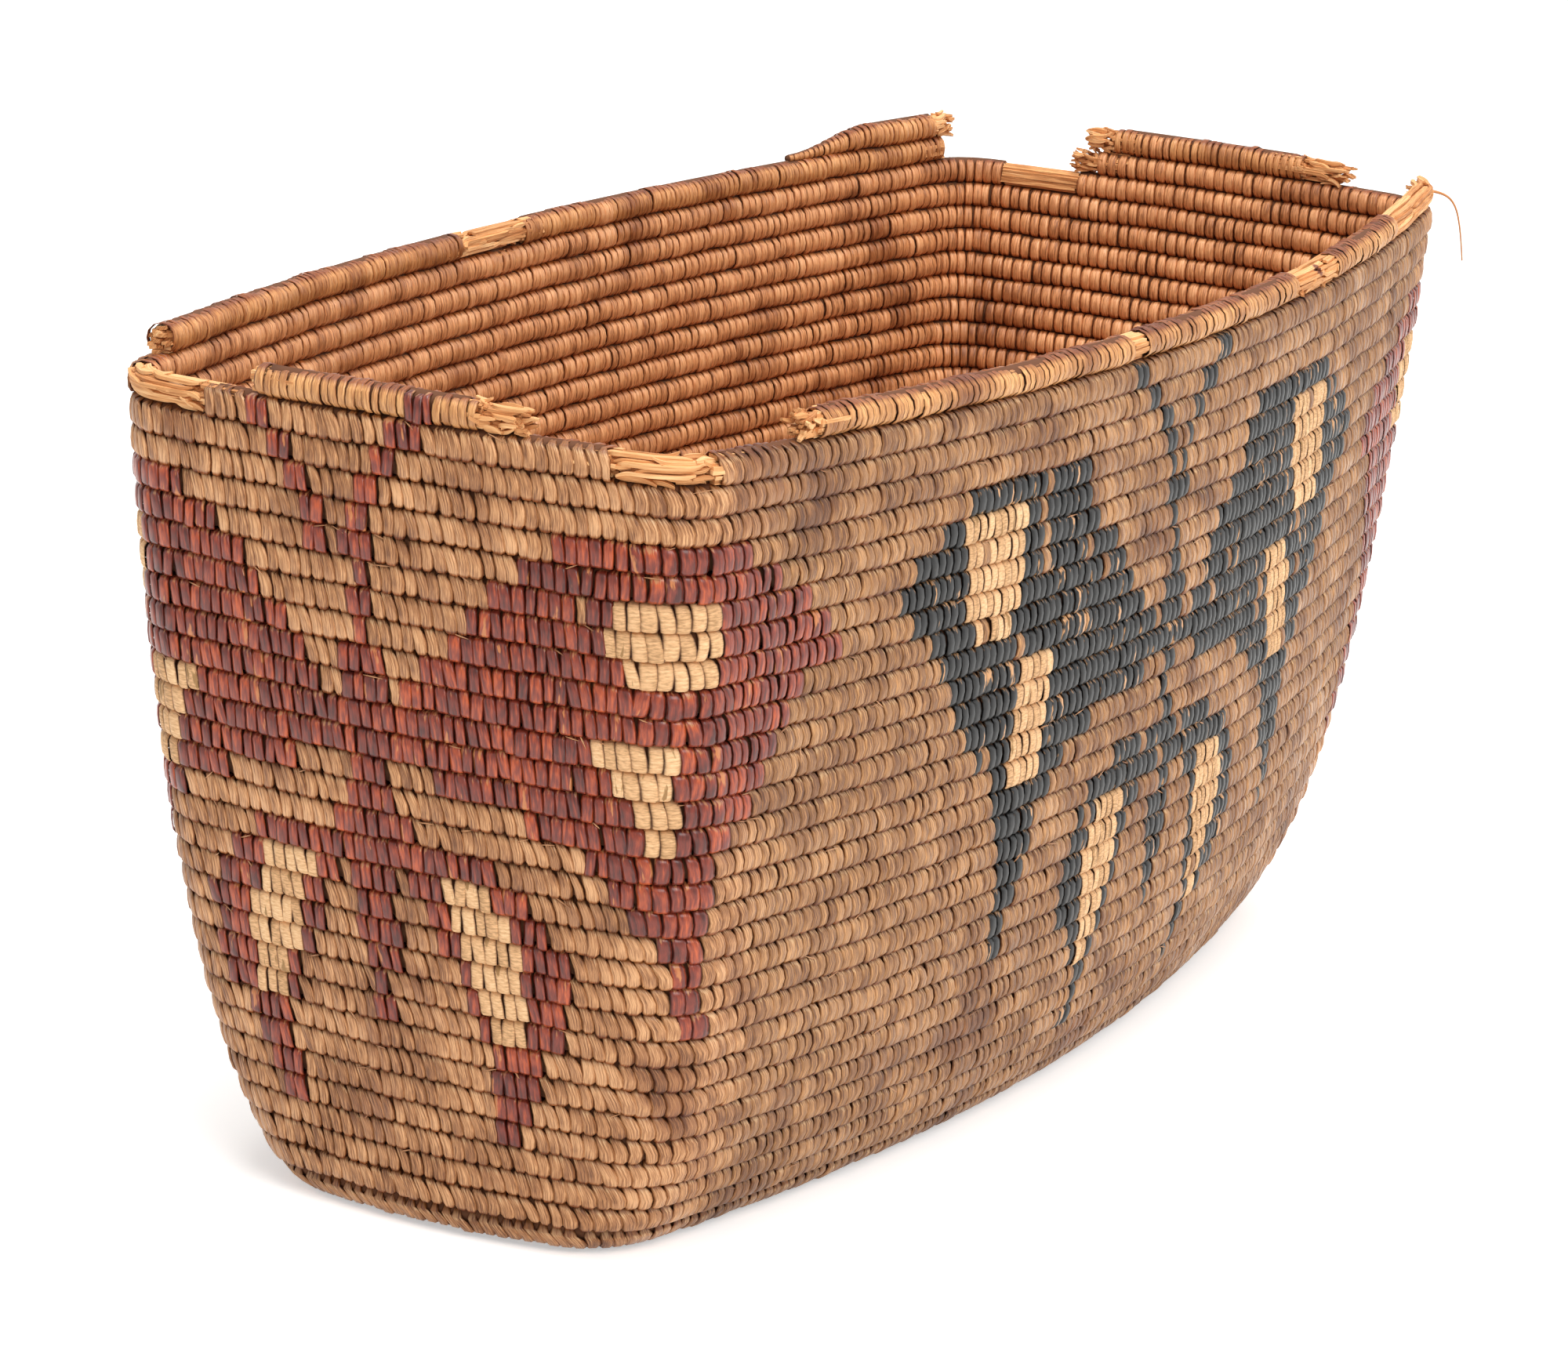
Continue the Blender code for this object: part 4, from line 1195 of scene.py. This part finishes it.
for number, turn in COURSES.items():
    name = f"sewn_course_{number:02d}"
    meshes = sewn_length(name, turn, SEAM_SHARE, SEAM_SHARE + 1, STITCH_PITCH)
    dress(name, meshes, "sewn_cedar_root", *course_nodes(number))
base_turns = round(CORE_LEVEL - CORE_LEFT_SHARE + CORE_SHARE - 1 / 2) - FIRST_TURN
meshes = sewn_length("sewn_base", FIRST_TURN, CORE_SHARE - base_turns, SEAM_SHARE, BASE_PITCH)
dress("sewn_base", [*meshes, straight_start()], "sewn_cedar_root", "base_winding")
print(f"{len(COURSES)} wall courses and a base of {base_turns + SEAM_SHARE - CORE_SHARE:.2f} turns")

# %% [markdown]
# ## Dressing the broken rim
#
# The rim lengths are wrapped closer and smoother than the wall. Inside them is a real bundle, which
# shows at every break, and the bare lengths are the bundle alone.

# %% Rim lengths
PLUG_LENGTH = 9.0 * MM
CORE_INSET = 3.0 * MM
PLUG_SEEDS = (100, 150)
BARE_SEED = 200

for number, (node, (turn, start, end)) in enumerate(WRAPPED_ARC_SHARES.items()):
    is_rim = not node.startswith("second_coil")
    tapers = node == "coil_finish_back"
    pitch = RIM_PITCH if is_rim else STITCH_PITCH
    length = route(turn, start, end)["distance"][-1]
    tip = length if tapers else math.inf
    inset = 0 if tapers else CORE_INSET
    meshes = sewn_length("wrapped_" + node, turn, start, end, pitch, is_rim, inset, tip)
    plug = PLUG_LENGTH / length * (end - start)
    plugs = [(start, start + plug), (end - plug, end)]
    for arc, seed in list(zip(plugs, PLUG_SEEDS))[: 1 if tapers else 2]:
        meshes.append(bundle(turn, *arc, WRAP_OVERHANG, frayed=0, seed=seed + number))
    dress("wrapped_" + node, meshes, "sewn_cedar_root", node)
for number, (node, (turn, start, end)) in enumerate(BARE_ARC_SHARES.items()):
    splints = bundle(turn, start, end, RAGGED, frayed=1, seed=BARE_SEED + number)
    dress("frayed_" + node, [splints], "bare_cedar_splints", node)
print(f"{len(WRAPPED_ARC_SHARES)} wrapped lengths and {len(BARE_ARC_SHARES)} bundles")

# %% [markdown]
# ## Slivers of root
#
# Old root splits at the tops of the courses, and thin slivers stand off there. They are the same
# straight splints, scattered over the outer face with a seeded choice of course, place, length and
# slope. A particle system could scatter them too, but it would not know the tops of the courses.

# %% Loose slivers
SLIVERS = 420
SLIVER_LENGTHS = (2.0 * MM, 6.0 * MM)
SLIVER_WIDTH = 0.36 * MM
SLIVER_THICKNESS = 0.18 * MM
SLIVER_OUT = 3.45 * MM
SLIVER_UP = 2.9 * MM
SLIVER_LIFT = 0.9 * MM
SLIVER_SLOPE = 0.5
SLIVER_COURSES = (2, 30)
SLIVER_TAPER = 1.5
SLIVER_SEED = 41


def loose_slivers():
    """Thin slivers of root along the tops of the courses, each lifting at one end."""
    chance = np.random.default_rng(SLIVER_SEED)
    share = chance.uniform(0, 1, SLIVERS)
    level = chance.integers(*SLIVER_COURSES, SLIVERS) - share + 1 / 2
    length = chance.uniform(*SLIVER_LENGTHS, SLIVERS)
    slope = chance.normal(0, SLIVER_SLOPE, SLIVERS)
    lift = SLIVER_LIFT * chance.random(SLIVERS)
    tone = chance.random(SLIVERS)
    mesh = straight_row(SPLINT, SLIVERS)
    points = vertex_places(mesh)
    number = np.arange(len(points)) // len(SPLINT.vertices)
    thin = 1 - np.abs(points[:, 1]) * SLIVER_TAPER
    along = points[:, 1] * length[number]
    wide = (points[:, 0] - number) * SLIVER_WIDTH * thin
    deep = points[:, 2] * SLIVER_THICKNESS * thin + lift[number] * (points[:, 1] + 0.5) ** 2
    out, up, ahead, _ = (table[number] for table in directions(share, level))
    cosine, sine = np.cos(slope)[number], np.sin(slope)[number]
    place = wall_points(share, level)[number] + out * (SLIVER_OUT + deep)[:, None]
    place += ahead * (along * cosine - wide * sine)[:, None]
    place += up * (SLIVER_UP + along * sine + wide * cosine)[:, None]
    mesh.vertices.foreach_set("co", place.ravel())
    none, whole = np.zeros(len(points)), np.ones(len(points))
    set_attribute(mesh, "place", (none, whole / 2, whole))
    set_attribute(mesh, "look", (tone[number], none, none))
    mesh.uv_layers.new(name="strand")
    return mesh


dress("frayed_slivers", [loose_slivers()], "sewn_cedar_root")
print(f"{SLIVERS} slivers")

# %% [markdown]
# ## The loose fibre
#
# One thin root fibre has come loose at the front right corner and hangs outside the wall. It is a
# smooth curve with a round bevel, through the same few points as its solid, and thins to its tip.

# %% Loose fibre
FIBRE_DIAMETER = 0.9 * MM
FIBRE_REACH = 10.5 * MM
FIBRE_DROP = 20.0 * MM
FIBRE_HEADING_DEGREES = -63.0
FIBRE_ROUTE_SHARES = ((0.0, 0.0), (0.35, 0.02), (0.66, 0.13), (0.84, 0.44), (0.93, 0.72), (1.0, 1.0))
FIBRE_TIP_SHARE = 0.45


def loose_fibre():
    """The fibre, from the outer top of its solid to the tip."""
    low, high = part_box("loose_fibre")
    heading = math.radians(FIBRE_HEADING_DEGREES)
    away = Vector((math.cos(heading), math.sin(heading), 0))
    root = Vector((low.x + FIBRE_DIAMETER / 2, high.y - FIBRE_DIAMETER / 2, high.z - FIBRE_DIAMETER / 2))
    curve = bpy.data.curves.new("loose_fibre_curve", "CURVE")
    curve.dimensions = "3D"
    curve.bevel_depth = FIBRE_DIAMETER / 2
    curve.bevel_resolution = 2
    curve.use_fill_caps = True
    spline = curve.splines.new("NURBS")
    spline.points.add(len(FIBRE_ROUTE_SHARES) - 1)
    spline.use_endpoint_u = True
    for number, (reach, drop) in enumerate(FIBRE_ROUTE_SHARES):
        place = root + away * FIBRE_REACH * reach - Vector((0, 0, FIBRE_DROP * drop))
        spline.points[number].co = (*place, 1)
        spline.points[number].radius = 1 - (1 - FIBRE_TIP_SHARE) * reach
    piece = bpy.data.objects.new("root_fibre", curve)
    bpy.context.scene.collection.objects.link(piece)
    curve.materials.append(BARE_WOOD)
    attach(piece, "root")
    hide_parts("loose_fibre")


loose_fibre()

# %% [markdown]
# ## Floor, light and camera
#
# The basket stands on a plain pale floor in soft studio light: a large lamp above and to the left
# of the camera, a weaker one on the right, and an even white surround. The surround is white to the
# camera and to reflections, and weaker as a light, so that colours render about as written.

# %% Floor and surround
FLOOR_SIZE = 14.0
FLOOR_COLOUR = "#F4F4F2"
FLOOR_LIFT = 0.45
SURROUND_LIGHT = 0.5
WHITE = (1, 1, 1, 1)


def seen_ray(tree):
    """1 for what the camera sees, also in gloss and through glass, and 0 for what only lights the object."""
    path = add(tree, "LightPath").outputs
    seen = add(tree, "Math", {0: path["Is Camera Ray"], 1: path["Is Glossy Ray"]}, operation="MAXIMUM")
    seen = add(tree, "Math", {0: seen.outputs[0], 1: path["Is Transmission Ray"]}, operation="MAXIMUM")
    return seen.outputs[0]


def floor():
    """A plain pale floor, which keeps the basket's shadow and is white where it is lit."""
    shape = bmesh.new()
    bmesh.ops.create_grid(shape, x_segments=1, y_segments=1, size=FLOOR_SIZE / 2)
    mesh = finished_mesh(shape, "floor")
    made = bpy.data.materials.new("painted board, matt white")
    made.use_nodes = True
    shader = made.node_tree.nodes["Principled BSDF"]
    shader.inputs["Base Color"].default_value = linear(FLOOR_COLOUR)
    shader.inputs["Roughness"].default_value = 0.9
    shader.inputs["Emission Color"].default_value = WHITE
    lift = add(made.node_tree, "Math", {0: seen_ray(made.node_tree), 1: FLOOR_LIFT}, operation="MULTIPLY")
    made.node_tree.links.new(lift.outputs[0], shader.inputs["Emission Strength"])
    mesh.materials.append(made)
    stand = bpy.data.objects.new("floor", mesh)
    bpy.context.scene.collection.objects.link(stand)


def surround():
    """White to the camera and to reflections, and a weaker white as a light."""
    world = bpy.data.worlds.new("studio")
    world.use_nodes = True
    tree = world.node_tree
    strength = add(tree, "MapRange", {"Value": seen_ray(tree), "To Min": SURROUND_LIGHT, "To Max": 1.0})
    background = tree.nodes["Background"]
    background.inputs["Color"].default_value = WHITE
    tree.links.new(strength.outputs[0], background.inputs["Strength"])
    bpy.context.scene.world = world


floor()
surround()
print(f"the floor is {FLOOR_SIZE:.0f} m wide")

# %% Lamps and camera
# Each lamp has a place and a size in metres, and a power in watts. The camera's angles are radians.
LAMPS = {
    "key": ((-1.5, -1.9, 2.3), 1.8, 48.0),
    "fill": ((1.6, -2.4, 1.2), 2.2, 18.0),
    "top": ((-0.2, -0.1, 2.6), 1.6, 52.0),
}
CAMERA_PLACE = Vector((-1.3604, -0.6853, 0.4925))
CAMERA_YAW = 0.473
CAMERA_PITCH = 0.253
CAMERA_ROLL = 0.058
CAMERA_LENS = 133.44
SENSOR_WIDTH = 36.0


def lamp(name, place, size, power):
    """A square lamp that faces the basket."""
    data = bpy.data.lights.new(name, "AREA")
    data.size = size
    data.energy = power
    made = bpy.data.objects.new(name, data)
    made.location = place
    aim = Vector((0, 0, cad_high[2] / 2)) - Vector(place)
    made.rotation_euler = aim.to_track_quat("-Z", "Y").to_euler()
    bpy.context.scene.collection.objects.link(made)


def camera():
    """The camera at the photograph's place and angle."""
    forward = Vector((
        math.cos(CAMERA_YAW) * math.cos(CAMERA_PITCH),
        math.sin(CAMERA_YAW) * math.cos(CAMERA_PITCH),
        -math.sin(CAMERA_PITCH),
    ))
    right = forward.cross(Vector((0, 0, 1))).normalized()
    up = right.cross(forward)
    turned_right = right * math.cos(CAMERA_ROLL) + up * math.sin(CAMERA_ROLL)
    turned_up = up * math.cos(CAMERA_ROLL) - right * math.sin(CAMERA_ROLL)
    data = bpy.data.cameras.new("camera")
    data.lens = CAMERA_LENS
    data.sensor_width = SENSOR_WIDTH
    made = bpy.data.objects.new("camera", data)
    facing = Matrix((turned_right, turned_up, -forward)).transposed().to_4x4()
    made.matrix_world = Matrix.Translation(CAMERA_PLACE) @ facing
    bpy.context.scene.collection.objects.link(made)
    bpy.context.scene.camera = made


for name, (place, size, power) in LAMPS.items():
    lamp(name, place, size, power)
camera()
bpy.context.scene.view_settings.view_transform = "Standard"
print(f"{len(LAMPS)} lamps, and a lens of {CAMERA_LENS:.0f} mm")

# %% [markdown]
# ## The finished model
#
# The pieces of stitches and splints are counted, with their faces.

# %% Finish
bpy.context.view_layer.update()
pieces = [piece for piece in bpy.data.objects if piece.name.startswith(("sewn_", "wrapped_", "frayed_"))]
faces = sum(len(piece.data.polygons) for piece in pieces)
print(f"{len(pieces)} pieces of stitches and splints, with {faces} faces")
